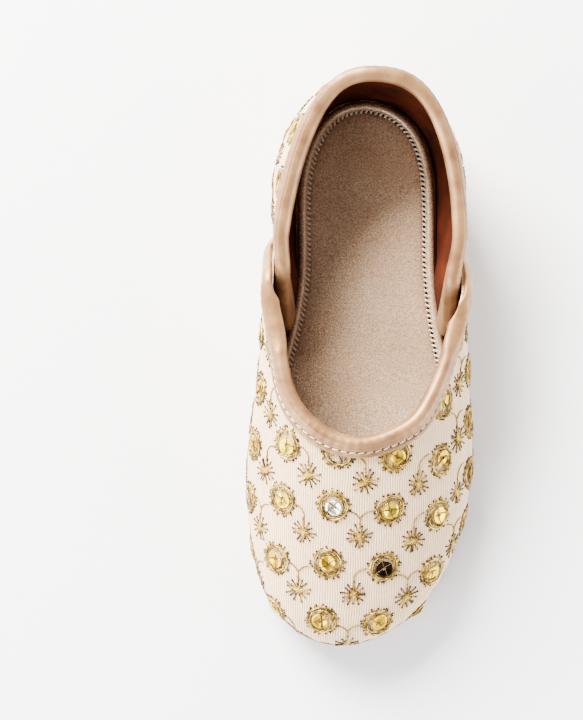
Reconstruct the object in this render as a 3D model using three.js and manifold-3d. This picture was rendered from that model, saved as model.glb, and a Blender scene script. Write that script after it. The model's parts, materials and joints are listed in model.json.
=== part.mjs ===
// A child's left mojari: a flat slip-on shoe with a fabric vamp and quarter, bound edges,
// a smooth insole and a moulded sole with a low heel.
// Units are millimetres. The heel points to +Y, the toe to -Y, the outer (lateral) side to +X and +Z is up.
// The origin is under the middle of the shoe, on the floor.

import * as THREE from 'three';
import Module from 'manifold-3d';

const wasm = await Module();
wasm.setup();

// Last
const LAST_LENGTH = 154;
const BALL_WIDTH = 58;
const COLLAR_HEIGHT = 52;
const SIDE_HEIGHT = 35;
const THROAT_HEIGHT = 38;
const SWELL = 5.5;

// Upper
const WALL = 1.6;
const FLARE = 0.8;
const TUCK = 1.7;
const BITE = 0.2;
const CLEARANCE = 0.3;

// Bindings
const BINDING_WIDTH = 4.4;
const BINDING_THICKNESS = 0.7;
const BEAD_HEIGHT = 0.4;
const BEAD_WIDTH = 2.9;
const BINDING_INSIDE = 4;
const BINDING_ROLL = 0.9;
const BINDING_SEAT = 0.5;
const BINDING_GAP = 0.35;

// Insole
const INSOLE_THICKNESS = 3;
const INSOLE_GAP = 0.7;

// Sole
const SOLE_THICKNESS = 4.5;
const HEEL_LIFT = 4.5;
const TOE_SPRING = 5;
const SOLE_MARGIN = 0.6;
const SOLE_DRAFT = 0.7;
const RIB_PITCH = 1.9;
const GROOVE_WIDTH = 0.8;
const GROOVE_DEPTH = 0.8;
const TREAD_BORDER = 6;
const HEEL_BAR = 3.5;
const PANEL_LENGTH = 9;
const PANEL_WIDTH = 16;
const PANEL_DEPTH = 0.6;
const CUTTER_DROP = 3;

// Places along the last, as shares of LAST_LENGTH from the heel
const HEEL_BREAST = 0.28;
const TREAD_BACK = 0.47;
const SOLE_CONTACT = 0.6;
const SPRING_START = 0.74;
const PANEL_CENTRE = 0.405;
const QUARTER_DIVE = 0.335;
const QUARTER_FRONT = 0.445;
const VAMP_REAR = 0.26;
const VAMP_TOP = 0.4;
const LAP_CLEAR = 0.01;
const LAP_FADE = 0.14;

// Sections round the last, from the heel along the lateral side to the tip and back by the medial side.
// along and topAlong are shares of LAST_LENGTH at the feather line and at the topline, across and topAcross
// are shares of half of BALL_WIDTH, back and front are shares of the collar's and the throat's rise over the
// side, and swell is a share of SWELL.
const SECTIONS = [
  { name: 'heel', along: 0.012, across: 0.02, topAlong: 0.016, topAcross: 0.04, back: 1, front: 0, swell: 0.4 },
  { name: 'heelLat', along: 0.048, across: 0.45, topAlong: 0.048, topAcross: 0.46, back: 0.82, front: 0, swell: 0.5 },
  { name: 'counterLat', along: 0.15, across: 0.69, topAlong: 0.17, topAcross: 0.75, back: 0.42, front: 0, swell: 1 },
  { name: 'waistLat', along: 0.32, across: 0.73, topAlong: 0.33, topAcross: 0.83, back: 0.08, front: 0.02, swell: 0.15 },
  { name: 'joinLat', along: 0.48, across: 0.86, topAlong: 0.47, topAcross: 0.76, back: 0, front: 0.12, swell: 0.6 },
  { name: 'ballLat', along: 0.64, across: 1.02, topAlong: 0.568, topAcross: 0.56, back: 0, front: 0.5, swell: 0.55 },
  { name: 'toeLat', along: 0.81, across: 0.93, topAlong: 0.61, topAcross: 0.38, back: 0, front: 0.82, swell: 0.35 },
  { name: 'tipLat', along: 0.945, across: 0.53, topAlong: 0.632, topAcross: 0.15, back: 0, front: 0.97, swell: 0.3 },
  { name: 'tip', along: 1.005, across: -0.11, topAlong: 0.64, topAcross: -0.06, back: 0, front: 1, swell: 0.3 },
  { name: 'tipMed', along: 0.97, across: -0.64, topAlong: 0.632, topAcross: -0.29, back: 0, front: 0.95, swell: 0.3 },
  { name: 'toeMed', along: 0.865, across: -0.94, topAlong: 0.602, topAcross: -0.52, back: 0, front: 0.78, swell: 0.35 },
  { name: 'ballMed', along: 0.68, across: -1.01, topAlong: 0.545, topAcross: -0.71, back: 0, front: 0.45, swell: 0.55 },
  { name: 'joinMed', along: 0.51, across: -0.83, topAlong: 0.445, topAcross: -0.8, back: 0, front: 0.12, swell: 0.5 },
  { name: 'waistMed', along: 0.34, across: -0.66, topAlong: 0.33, topAcross: -0.8, back: 0.08, front: 0.02, swell: 0.35 },
  { name: 'counterMed', along: 0.17, across: -0.66, topAlong: 0.18, topAcross: -0.68, back: 0.4, front: 0, swell: 1.15 },
  { name: 'heelMed', along: 0.048, across: -0.42, topAlong: 0.048, topAcross: -0.38, back: 0.82, front: 0, swell: 0.75 },
];
const COLUMNS = ['along', 'across', 'topAlong', 'topAcross', 'back', 'front', 'swell'];
const COUNT = SECTIONS.length;
const TIP = SECTIONS.findIndex((section) => section.name === 'tip');

const clamp = (value, low, high) => Math.min(high, Math.max(low, value));
const mix = (a, b, share) => a + (b - a) * share;

function ease(value) {
  const t = clamp(value, 0, 1);
  return t * t * (3 - 2 * t);
}

// Slopes of the smooth closed curve through one column of the table
function closedSlopes(values) {
  const slopes = values.map(() => 0);
  for (let pass = 0; pass < 40; pass += 1) {
    for (let i = 0; i < COUNT; i += 1) {
      const before = (i + COUNT - 1) % COUNT;
      const after = (i + 1) % COUNT;
      slopes[i] = (3 * (values[after] - values[before]) - slopes[before] - slopes[after]) / 4;
    }
  }
  return slopes;
}

const curves = {};
for (const column of COLUMNS) {
  const values = SECTIONS.map((section) => section[column]);
  curves[column] = { values, slopes: closedSlopes(values) };
}

// One column's value at the place u round the last, where whole numbers are the sections
function at(column, u) {
  const { values, slopes } = curves[column];
  const turn = ((u % COUNT) + COUNT) % COUNT;
  const i = Math.floor(turn) % COUNT;
  const j = (i + 1) % COUNT;
  const t = turn - Math.floor(turn);
  const t2 = t * t;
  const t3 = t2 * t;
  return (2 * t3 - 3 * t2 + 1) * values[i] + (t3 - 2 * t2 + t) * slopes[i]
    + (3 * t2 - 2 * t3) * values[j] + (t3 - t2) * slopes[j];
}

const shareOf = (y) => 0.5 - y / LAST_LENGTH;
const yOf = (share) => (0.5 - share) * LAST_LENGTH;
const spring = (share) => TOE_SPRING * clamp((share - SPRING_START) / (1 - SPRING_START), 0, 1.2) ** 2;

function soleBottom(share) {
  if (share < HEEL_BREAST) return 0;
  const arch = clamp((share - HEEL_BREAST) / (SOLE_CONTACT - HEEL_BREAST), 0, 1);
  return HEEL_LIFT * (1 - arch) ** 1.5 + spring(share);
}

function soleTop(share) {
  return SOLE_THICKNESS + HEEL_LIFT * (1 - ease((share - 0.1) / (SOLE_CONTACT - 0.08))) + spring(share);
}

function feather(u) {
  return new THREE.Vector3(at('across', u) * BALL_WIDTH / 2, yOf(at('along', u)), 0);
}

function outward(u) {
  const step = feather(u + 0.001).sub(feather(u - 0.001)).normalize();
  return new THREE.Vector3(-step.y, step.x, 0);
}

// The last's side wall: v runs from 0 at the feather line to 1 at the topline, heights over the sole
function lastSurface(u, v) {
  const foot = feather(u);
  const out = outward(u);
  const front = at('front', u);
  const height = SIDE_HEIGHT + at('back', u) * (COLLAR_HEIGHT - SIDE_HEIGHT) + front * (THROAT_HEIGHT - SIDE_HEIGHT);
  const top = new THREE.Vector3(at('topAcross', u) * BALL_WIDTH / 2, yOf(at('topAlong', u)), height);
  const swell = SWELL * at('swell', u);
  const low = foot.clone().addScaledVector(out, 1.1 * swell);
  low.z += height * mix(0.33, 0.37, front);
  const high = top.clone().addScaledVector(out, 0.9 * swell);
  high.x -= (top.x - foot.x) * 0.48 * front;
  high.y -= (top.y - foot.y) * 0.48 * front;
  high.z -= height * mix(0.33, 0.26, front);
  const w = 1 - v;
  return foot.multiplyScalar(w ** 3).addScaledVector(low, 3 * w * w * v)
    .addScaledVector(high, 3 * w * v * v).addScaledVector(top, v ** 3);
}

function lastNormal(u, v) {
  const along = lastSurface(u + 0.001, v).sub(lastSurface(u - 0.001, v));
  const up = lastSurface(u, v + 0.001).sub(lastSurface(u, v - 0.001));
  const normal = up.cross(along).normalize();
  normal.z *= ease(v / 0.12);
  return normal.normalize();
}

// A point at a distance off the last, with the last seated on the sole's curved top
function onLast(u, v, off) {
  const point = lastSurface(u, v).addScaledVector(lastNormal(u, v), off);
  const seat = (1 - v) ** 3 + 3 * (1 - v) ** 2 * v;
  point.z += (soleTop(shareOf(point.y)) + CLEARANCE) * seat;
  return point;
}

// Height of each sheet's edge, as a share of the wall, where the quarter dives under the vamp
// and where the vamp's rear edge runs down over the quarter
const quarterEdge = (share) => (1 - clamp((share - QUARTER_DIVE) / (QUARTER_FRONT - QUARTER_DIVE), 0, 1) ** 2) ** 0.8;
const quarterReach = (v) => QUARTER_DIVE + (QUARTER_FRONT - QUARTER_DIVE) * (1 - clamp(v, 0, 1) ** 1.25) ** 0.5;
const vampEdge = (share) => (1 - clamp((VAMP_TOP - share) / (VAMP_TOP - VAMP_REAR), 0, 1) ** 2.2) ** 0.9;
const vampReach = (v) => VAMP_TOP - (VAMP_TOP - VAMP_REAR) * (1 - clamp(v, 0, 1) ** (1 / 0.9)) ** (1 / 2.2);

const wallShare = (u, v) => mix(at('along', u), at('topAlong', u), v);
const rising = (v) => ease((v - 0.05) / 0.07);

// The vamp is joined to the quarter low down, stands clear of it above and meets the last ahead of it
function vampOff(u, v) {
  const share = wallShare(u, v);
  const flare = at('across', u) < 0 ? FLARE * ease((v - 0.3) / 0.7) * ease((share - QUARTER_DIVE) / 0.08) : 0;
  const stand = WALL - BITE + (BITE + CLEARANCE) * rising(v) + flare;
  return stand * (1 - ease((share - quarterReach(v) - LAP_CLEAR) / LAP_FADE));
}

const quarterOff = (u, v) => -TUCK * ease((wallShare(u, v) - QUARTER_DIVE + 0.06) / 0.085) * rising(v);

const vampPoint = (u, v, off) => onLast(u, v, vampOff(u, v) + off);
const quarterPoint = (u, v, off) => onLast(u, v, quarterOff(u, v) + off);

// The place round the last where a side is at a share of its length
function placeAt(share, lateral) {
  let near = lateral ? 0 : COUNT;
  let far = TIP;
  for (let pass = 0; pass < 40; pass += 1) {
    const middle = (near + far) / 2;
    if (at('along', middle) < share) near = middle;
    else far = middle;
  }
  return (near + far) / 2;
}

// Places spaced evenly along a sheet, by the length of its edge and half the length of its foot
function evenPlaces(from, to, edge, surface, count) {
  const fine = 1200;
  const places = [from];
  const lengths = [0];
  let last = surface(from, edge(at('along', from)), 0);
  for (let i = 1; i <= fine; i += 1) {
    const u = mix(from, to, i / fine);
    const point = surface(u, edge(at('along', u)), 0);
    places.push(u);
    lengths.push(lengths[i - 1] + point.distanceTo(last) + feather(u).distanceTo(feather(places[i - 1])) / 2);
    last = point;
  }
  const result = [];
  let i = 0;
  for (let k = 0; k <= count; k += 1) {
    const target = lengths[fine] * k / count;
    while (i < fine - 1 && lengths[i + 1] < target) i += 1;
    result.push(mix(places[i], places[i + 1], (target - lengths[i]) / (lengths[i + 1] - lengths[i])));
  }
  return result;
}

function solidFrom(points, triangles) {
  const vertProperties = new Float32Array(points.length * 3);
  points.forEach((point, i) => vertProperties.set([point.x, point.y, point.z], i * 3));
  const mesh = new wasm.Mesh({ numProp: 3, vertProperties, triVerts: new Uint32Array(triangles.flat()) });
  return new wasm.Manifold(mesh);
}

// The triangles that close a section's end, worked out from its outline
function endTriangles(ring) {
  const size = ring.length;
  const normal = new THREE.Vector3();
  ring.forEach((point, j) => normal.add(point.clone().cross(ring[(j + 1) % size])));
  normal.normalize();
  const side = new THREE.Vector3().subVectors(ring[1], ring[0]).normalize();
  const upright = new THREE.Vector3().crossVectors(normal, side).normalize();
  side.crossVectors(upright, normal);
  const outline = ring.map((point) => new THREE.Vector2(point.dot(side), point.dot(upright)));
  return THREE.ShapeUtils.triangulateShape(outline, []);
}

// The triangles that close the end of a section made of two facing rows of points,
// the first row running on from the last point of the second
function stripTriangles(size) {
  const triangles = [];
  for (let j = 0; j + 1 < size / 2; j += 1) {
    const a = size - 1 - j;
    triangles.push([a, j, j + 1]);
    if (a - 1 > j + 1) triangles.push([a, j + 1, a - 1]);
  }
  return triangles;
}

// A solid through rings of equal length, each ring a closed section, with its ends closed
function loft(rings, ends = endTriangles) {
  const size = rings[0].length;
  const triangles = [];
  for (let i = 0; i + 1 < rings.length; i += 1) {
    for (let j = 0; j < size; j += 1) {
      const k = (j + 1) % size;
      const a = i * size + j;
      const b = i * size + k;
      triangles.push([a, b, b + size], [a, b + size, a + size]);
    }
  }
  const end = (rings.length - 1) * size;
  for (const [a, b, c] of ends(rings[0])) triangles.push([c, b, a]);
  for (const [a, b, c] of ends(rings[rings.length - 1])) triangles.push([end + a, end + b, end + c]);
  return solidFrom(rings.flat(), triangles);
}

// A sheet of the upper: columns along its edge, rows from the feather line up to the edge
function sheet(places, edge, surface, rows) {
  const rings = places.map((u) => {
    const top = edge(at('along', u));
    const outer = [];
    const inner = [];
    for (let j = 0; j <= rows; j += 1) {
      const v = top * (j / rows) ** 1.4;
      outer.push(surface(u, v, WALL));
      inner.unshift(surface(u, v, 0));
    }
    return [...outer, ...inner];
  });
  return loft(rings, (ring) => stripTriangles(ring.length));
}

// The columns of the quarter and of the vamp, which their bindings follow too
const QUARTER_END = 0.05;
const VAMP_END = 0.03;
const quarterPlaces = evenPlaces(
  placeAt(quarterReach(QUARTER_END), false),
  COUNT + placeAt(quarterReach(QUARTER_END), true),
  quarterEdge, quarterPoint, 58,
);
const vampPlaces = evenPlaces(
  placeAt(vampReach(VAMP_END), true),
  placeAt(vampReach(VAMP_END), false),
  vampEdge, vampPoint, 64,
);

function makeUpper() {
  const quarter = sheet(quarterPlaces, quarterEdge, quarterPoint, 8);
  const vamp = sheet(vampPlaces, vampEdge, vampPoint, 14);
  return quarter.add(vamp);
}

// The triangles that close the end of a binding's folded section
const BINDING_END = [
  [11, 0, 1], [11, 1, 10], [10, 1, 2], [10, 2, 9], [9, 2, 3], [9, 3, 4], [9, 4, 8], [8, 4, 5], [8, 5, 6], [8, 6, 7],
];

// A folded strip round a sheet's edge, laid on the sheet's own faces.
// inside(u) is 0 where there is no inner leaf, 0.5 where the strip has turned over the edge and 1 where the leaf
// is whole. foot is the lowest share of the wall that the strip reaches.
function makeBinding(places, edge, surface, inside, foot) {
  const outer = WALL + BINDING_GAP;
  const rings = places.map((u, i) => {
    const v = edge(at('along', u));
    const before = places[Math.max(i - 1, 0)];
    const after = places[Math.min(i + 1, places.length - 1)];
    const tangent = surface(after, edge(at('along', after)), 0).sub(surface(before, edge(at('along', before)), 0));
    tangent.normalize();
    const alongU = surface(u + 0.002, v, 0).sub(surface(u - 0.002, v, 0)).divideScalar(0.004);
    const alongV = surface(u, v, 0).sub(surface(u, v - 0.004, 0)).divideScalar(0.004);
    const normal = new THREE.Vector3().crossVectors(alongV, alongU).normalize();
    const inward = new THREE.Vector3().crossVectors(normal, tangent).normalize();
    if (inward.dot(alongV) > 0) inward.negate();
    const uu = alongU.dot(alongU);
    const uv = alongU.dot(alongV);
    const vv = alongV.dot(alongV);
    const det = uu * vv - uv * uv;
    const iu = inward.dot(alongU);
    const iv = inward.dot(alongV);
    const du = (iu * vv - iv * uv) / det;
    const dv = (iv * uu - iu * uv) / det;
    const place = (depth, off) => {
      if (depth > 0) return surface(u + du * depth, Math.max(v + dv * depth, foot), off);
      return surface(u, v, off).addScaledVector(inward, depth);
    };
    const turned = ease(2 * inside(u));
    const bottom = mix(-BINDING_SEAT + 0.05, BINDING_INSIDE, ease(2 * inside(u) - 1));
    const back = mix(BINDING_GAP + BITE, -BINDING_GAP - BINDING_THICKNESS, turned);
    const face = mix(BINDING_GAP + BITE + 0.1, -BINDING_GAP, turned);
    const top = -BINDING_SEAT - BINDING_ROLL;
    return [
      place(BINDING_WIDTH, outer + BINDING_THICKNESS),
      place(BEAD_WIDTH, outer + BINDING_THICKNESS - 0.1),
      place(BEAD_WIDTH / 2, outer + BINDING_THICKNESS + BEAD_HEIGHT),
      place(0, outer + BINDING_THICKNESS + BEAD_HEIGHT / 2),
      place(top, WALL / 2 + 0.4),
      place(mix(top, 0, 0.4), back),
      place(bottom, back),
      place(bottom, face),
      place(-BINDING_SEAT, face),
      place(-BINDING_SEAT, outer),
      place(BEAD_WIDTH, outer),
      place(BINDING_WIDTH, outer),
    ];
  });
  return loft(rings, () => BINDING_END);
}

const makeVampBinding = () => makeBinding(
  vampPlaces, vampEdge, vampPoint,
  (u) => clamp((at('along', u) - VAMP_TOP) / 0.08, 0, 1), 0.012,
);

// The collar's strip stops just over the insole
const makeCollarBinding = () => makeBinding(
  quarterPlaces.filter((u) => quarterEdge(at('along', u)) > 0.16),
  quarterEdge, quarterPoint, () => 1, 0.14,
);

// The left and right edges of an outline round the last at a distance from the feather line
function outlineEdges(off) {
  const points = [];
  for (let i = 0; i < 640; i += 1) {
    const u = COUNT * i / 640;
    points.push(feather(u).addScaledVector(outward(u), off(u)));
  }
  const heelEnd = Math.max(...points.map((point) => point.y));
  const toeEnd = Math.min(...points.map((point) => point.y));
  const crossings = (y) => {
    const found = [];
    points.forEach((a, i) => {
      const b = points[(i + 1) % points.length];
      if ((a.y - y) * (b.y - y) <= 0 && a.y !== b.y) found.push(mix(a.x, b.x, (y - a.y) / (b.y - a.y)));
    });
    return [Math.min(...found), Math.max(...found)];
  };
  return { heelEnd, toeEnd, crossings };
}

// Where the vamp laps over the quarter, the sole's edge steps out with it
function lapAt(u) {
  const share = at('along', u);
  return (WALL - BITE) * ease((share - VAMP_REAR + 0.08) / 0.08) * (1 - ease((share - QUARTER_FRONT - LAP_CLEAR) / LAP_FADE));
}

const soleOutline = outlineEdges((u) => lapAt(u) + WALL + SOLE_MARGIN);
const treadOutline = outlineEdges((u) => lapAt(u) + WALL + SOLE_MARGIN - TREAD_BORDER);
const insoleOutline = outlineEdges(() => -INSOLE_GAP);

// Places from heel to toe, closer together at the round ends, with extra ones where a form changes
function stations(outline, count, extra) {
  const { heelEnd, toeEnd } = outline;
  const list = [...extra];
  for (let i = 0; i <= count; i += 1) {
    const turn = Math.PI * mix(0.025, 0.975, i / count);
    const y = mix(toeEnd, heelEnd, (1 + Math.cos(turn)) / 2);
    if (extra.every((place) => Math.abs(place - y) > 0.8)) list.push(y);
  }
  return list.sort((a, b) => b - a);
}

function makeSoleBody() {
  const breast = yOf(HEEL_BREAST);
  const places = stations(soleOutline, 50, [breast, breast - 0.3, yOf(SOLE_CONTACT), yOf(SPRING_START)]);
  const rings = places.map((y) => {
    const [left, right] = soleOutline.crossings(y);
    const share = shareOf(y);
    const low = y > breast - 0.1 ? 0 : soleBottom(share);
    const high = soleTop(share);
    const draft = Math.min(SOLE_DRAFT, (right - left) / 6);
    const middle = mix(low, high, 0.4);
    return [
      new THREE.Vector3(left, y, high),
      new THREE.Vector3(left, y, middle),
      new THREE.Vector3(left + draft, y, low),
      new THREE.Vector3(right - draft, y, low),
      new THREE.Vector3(right, y, middle),
      new THREE.Vector3(right, y, high),
    ];
  });
  return loft(rings);
}

// A cutter under the sole between two places along it, following its underside
function underCut(from, to, depth, edges) {
  const ring = (y) => {
    const [left, right] = edges(y);
    const top = soleBottom(shareOf(y)) + depth;
    return [
      new THREE.Vector3(left, y, top),
      new THREE.Vector3(left, y, -CUTTER_DROP),
      new THREE.Vector3(right, y, -CUTTER_DROP),
      new THREE.Vector3(right, y, top),
    ];
  };
  return loft([ring(from), ring(to)]);
}

function makeOutsole() {
  let sole = makeSoleBody();
  const grooves = (from, to) => {
    for (let y = from; y - GROOVE_WIDTH > to; y -= RIB_PITCH) {
      sole = sole.subtract(underCut(y, y - GROOVE_WIDTH, GROOVE_DEPTH, treadOutline.crossings));
    }
  };
  grooves(treadOutline.heelEnd - 1.5, yOf(HEEL_BREAST) + HEEL_BAR);
  grooves(yOf(TREAD_BACK), treadOutline.toeEnd + 1.5);
  const panel = yOf(PANEL_CENTRE) + PANEL_LENGTH / 2;
  const [left, right] = soleOutline.crossings(yOf(PANEL_CENTRE));
  const centre = (left + right) / 2;
  const panelEdges = () => [centre - PANEL_WIDTH / 2, centre + PANEL_WIDTH / 2];
  return sole.subtract(underCut(panel, panel - PANEL_LENGTH, PANEL_DEPTH, panelEdges));
}

function makeInsole() {
  const places = stations(insoleOutline, 40, []);
  const rings = places.map((y) => {
    const [left, right] = insoleOutline.crossings(y);
    const low = soleTop(shareOf(y)) + CLEARANCE;
    const high = low + INSOLE_THICKNESS;
    return [
      new THREE.Vector3(left, y, high),
      new THREE.Vector3(left, y, low),
      new THREE.Vector3(right, y, low),
      new THREE.Vector3(right, y, high),
    ];
  });
  return loft(rings);
}

const embroideredFabric = new THREE.MeshStandardMaterial({ color: 0xf1e6dc, roughness: 0.85, metalness: 0 });
const softBinding = new THREE.MeshStandardMaterial({ color: 0xd2b08c, roughness: 0.45, metalness: 0.1 });
const insoleLeather = new THREE.MeshStandardMaterial({ color: 0xcdb5a0, roughness: 0.4, metalness: 0.25 });
const mouldedRubber = new THREE.MeshStandardMaterial({ color: 0xbe8f77, roughness: 0.6, metalness: 0 });

const shoe = new THREE.Group();

function addPiece(name, solid, material) {
  const { vertProperties, triVerts } = solid.getMesh();
  const geometry = new THREE.BufferGeometry();
  geometry.setAttribute('position', new THREE.BufferAttribute(new Float32Array(vertProperties), 3));
  geometry.setIndex(new THREE.BufferAttribute(new Uint32Array(triVerts), 1));
  geometry.computeVertexNormals();
  const mesh = new THREE.Mesh(geometry, material);
  mesh.name = name;
  shoe.add(mesh);
}

addPiece('outsole', makeOutsole(), mouldedRubber);
addPiece('insole', makeInsole(), insoleLeather);
addPiece('upper', makeUpper(), embroideredFabric);
addPiece('vamp_binding', makeVampBinding(), softBinding);
addPiece('collar_binding', makeCollarBinding(), softBinding);

const bounds = new THREE.Box3().setFromObject(shoe);
const centre = bounds.getCenter(new THREE.Vector3());
shoe.position.set(-centre.x, -centre.y, -bounds.min.z);

export default shoe;
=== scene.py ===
# %% [markdown]
# A child's left mojari is a flat slip-on shoe. A stiff last gives the upper its form, cloth is stretched
# over it, soft strips bind the cut edges, and the whole is glued to a moulded sole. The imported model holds
# that form as plain solids. This script loads it as a fixed frame and dresses it: each fine piece comes
# from the same surfaces as its solid, so it sits exactly where the solid sits.

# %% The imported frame
import json
import math
import random

import bmesh
import bpy
import numpy as np
from mathutils import Matrix, Vector

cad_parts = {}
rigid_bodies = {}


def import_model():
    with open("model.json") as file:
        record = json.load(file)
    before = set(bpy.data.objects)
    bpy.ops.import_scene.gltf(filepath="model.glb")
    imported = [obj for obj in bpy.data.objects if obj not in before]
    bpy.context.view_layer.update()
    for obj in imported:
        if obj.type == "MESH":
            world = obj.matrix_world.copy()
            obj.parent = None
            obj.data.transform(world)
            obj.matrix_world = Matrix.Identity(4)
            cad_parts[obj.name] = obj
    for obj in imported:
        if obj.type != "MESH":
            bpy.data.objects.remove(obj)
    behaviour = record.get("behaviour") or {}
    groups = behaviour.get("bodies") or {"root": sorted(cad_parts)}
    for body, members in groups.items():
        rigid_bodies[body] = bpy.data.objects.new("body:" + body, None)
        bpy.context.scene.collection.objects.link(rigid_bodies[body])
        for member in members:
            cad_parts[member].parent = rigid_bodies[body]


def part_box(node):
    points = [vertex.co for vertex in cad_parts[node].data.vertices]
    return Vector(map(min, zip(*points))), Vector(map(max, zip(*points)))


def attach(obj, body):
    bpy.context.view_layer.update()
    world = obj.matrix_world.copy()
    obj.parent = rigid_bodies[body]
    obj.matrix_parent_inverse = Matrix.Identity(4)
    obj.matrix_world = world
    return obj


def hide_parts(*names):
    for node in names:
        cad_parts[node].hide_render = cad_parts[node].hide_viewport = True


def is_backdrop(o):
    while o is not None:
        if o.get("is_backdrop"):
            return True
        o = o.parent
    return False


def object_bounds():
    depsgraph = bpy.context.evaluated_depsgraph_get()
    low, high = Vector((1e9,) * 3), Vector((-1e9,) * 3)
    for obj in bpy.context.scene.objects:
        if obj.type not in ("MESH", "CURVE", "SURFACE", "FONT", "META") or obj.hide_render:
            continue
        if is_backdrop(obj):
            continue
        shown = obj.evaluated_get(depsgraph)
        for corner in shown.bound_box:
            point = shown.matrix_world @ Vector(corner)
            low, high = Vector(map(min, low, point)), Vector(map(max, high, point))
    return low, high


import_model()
cad_low, cad_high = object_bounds()
MM = 0.001
print("frame", [round(value / MM, 1) for value in (*cad_low, *cad_high)])

# %% [markdown]
# All sizes below are the shoe's own, in millimetres. The last is described by sixteen sections round its
# feather line, where the upper meets the sole. A smooth closed curve runs through each column of the table.

# %% Sizes of the last, the upper and the sole
LAST_LENGTH = 154
BALL_WIDTH = 58
COLLAR_HEIGHT = 52
SIDE_HEIGHT = 35
THROAT_HEIGHT = 38
SWELL = 5.5
WALL = 1.6
FLARE = 0.8
TUCK = 1.7
BITE = 0.2
CLEARANCE = 0.3
BINDING_WIDTH = 4.4
BINDING_INSIDE = 4
BINDING_SEAT = 0.5
BINDING_ROLL = 0.9
BINDING_GAP = 0.35
BINDING_THICKNESS = 0.7
SEAM_DEPTH = 2.9
INSOLE_THICKNESS = 3
INSOLE_GAP = 0.7
SOLE_THICKNESS = 4.5
HEEL_LIFT = 4.5
TOE_SPRING = 5
SOLE_MARGIN = 0.6
RIB_PITCH = 1.9
RIB_DEPTH = 0.8
TREAD_BORDER = 6
HEEL_BAR = 3.5
PANEL_LENGTH = 9
PANEL_WIDTH = 16
PANEL_DEPTH = 0.6

HEEL_BREAST = 0.28
TREAD_BACK = 0.47
SOLE_CONTACT = 0.6
SPRING_START = 0.74
PANEL_CENTRE = 0.405
QUARTER_DIVE = 0.335
QUARTER_FRONT = 0.445
VAMP_REAR = 0.26
VAMP_TOP = 0.4
LAP_CLEAR = 0.01
LAP_FADE = 0.14

COLUMNS = ("along", "across", "top_along", "top_across", "back", "front", "swell")
SECTIONS = {
    "heel": (0.012, 0.02, 0.016, 0.04, 1, 0, 0.4),
    "heel_lat": (0.048, 0.45, 0.048, 0.46, 0.82, 0, 0.5),
    "counter_lat": (0.15, 0.69, 0.17, 0.75, 0.42, 0, 1),
    "waist_lat": (0.32, 0.73, 0.33, 0.83, 0.08, 0.02, 0.15),
    "join_lat": (0.48, 0.86, 0.47, 0.76, 0, 0.12, 0.6),
    "ball_lat": (0.64, 1.02, 0.568, 0.56, 0, 0.5, 0.55),
    "toe_lat": (0.81, 0.93, 0.61, 0.38, 0, 0.82, 0.35),
    "tip_lat": (0.945, 0.53, 0.632, 0.15, 0, 0.97, 0.3),
    "tip": (1.005, -0.11, 0.64, -0.06, 0, 1, 0.3),
    "tip_med": (0.97, -0.64, 0.632, -0.29, 0, 0.95, 0.3),
    "toe_med": (0.865, -0.94, 0.602, -0.52, 0, 0.78, 0.35),
    "ball_med": (0.68, -1.01, 0.545, -0.71, 0, 0.45, 0.55),
    "join_med": (0.51, -0.83, 0.445, -0.8, 0, 0.12, 0.5),
    "waist_med": (0.34, -0.66, 0.33, -0.8, 0.08, 0.02, 0.35),
    "counter_med": (0.17, -0.66, 0.18, -0.68, 0.4, 0, 1.15),
    "heel_med": (0.048, -0.42, 0.048, -0.38, 0.82, 0, 0.75),
}
COUNT = len(SECTIONS)
TIP = list(SECTIONS).index("tip")

# %% [markdown]
# The surfaces are ordinary functions of two numbers: u runs round the last through the sections, v runs up
# the wall from 0 at the sole to 1 at the topline. They work on whole arrays, so a fine mesh costs no more
# code than a coarse one. Round the last, each column of the table becomes one smooth closed curve.

# %% Smooth curves round the last
SMOOTHING_PASSES = 40


def mix(a, b, share):
    return a + (b - a) * share


def ease(value):
    t = np.clip(value, 0, 1)
    return t * t * (3 - 2 * t)


def closed_slopes(values):
    """Slopes of the smooth closed curve through one column."""
    slopes = np.zeros(COUNT)
    for _ in range(SMOOTHING_PASSES):
        for i in range(COUNT):
            after = (i + 1) % COUNT
            slopes[i] = (3 * (values[after] - values[i - 1]) - slopes[i - 1] - slopes[after]) / 4
    return slopes


CURVES = {}
for column, values in zip(COLUMNS, np.array(list(SECTIONS.values()), float).T):
    CURVES[column] = (values, closed_slopes(values))


def at(column, u):
    """A column's value at the places u round the last."""
    values, slopes = CURVES[column]
    turn = np.mod(u, COUNT)
    i = np.floor(turn).astype(int) % COUNT
    j = (i + 1) % COUNT
    t = turn - np.floor(turn)
    return (
        (2 * t**3 - 3 * t**2 + 1) * values[i]
        + (t**3 - 2 * t**2 + t) * slopes[i]
        + (3 * t**2 - 2 * t**3) * values[j]
        + (t**3 - t**2) * slopes[j]
    )


print("columns", *CURVES)

# %% [markdown]
# The last doesn't stand flat. The heel is lifted, the arch comes down to the ball, and the toe springs up
# again, so that the shoe rolls as its wearer steps. A share runs from 0 at the heel's back to 1 at the toe.

# %% Heel, arch and toe spring


def share_of(y):
    return 0.5 - y / LAST_LENGTH


def y_of(share):
    return (0.5 - share) * LAST_LENGTH


def spring(share):
    return TOE_SPRING * np.clip((share - SPRING_START) / (1 - SPRING_START), 0, 1.2) ** 2


def sole_bottom(share):
    arch = np.clip((share - HEEL_BREAST) / (SOLE_CONTACT - HEEL_BREAST), 0, 1)
    return HEEL_LIFT * (1 - arch) ** 1.5 + spring(share)


def sole_top(share):
    return SOLE_THICKNESS + HEEL_LIFT * (1 - ease((share - 0.1) / (SOLE_CONTACT - 0.08))) + spring(share)


for place, share in (("heel", 0.1), ("arch", 0.4), ("ball", 0.65), ("toe", 1)):
    low, high = float(sole_bottom(share)), float(sole_top(share))
    print("sole under the", place, round(low, 1), "to", round(high, 1), "mm")

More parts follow.
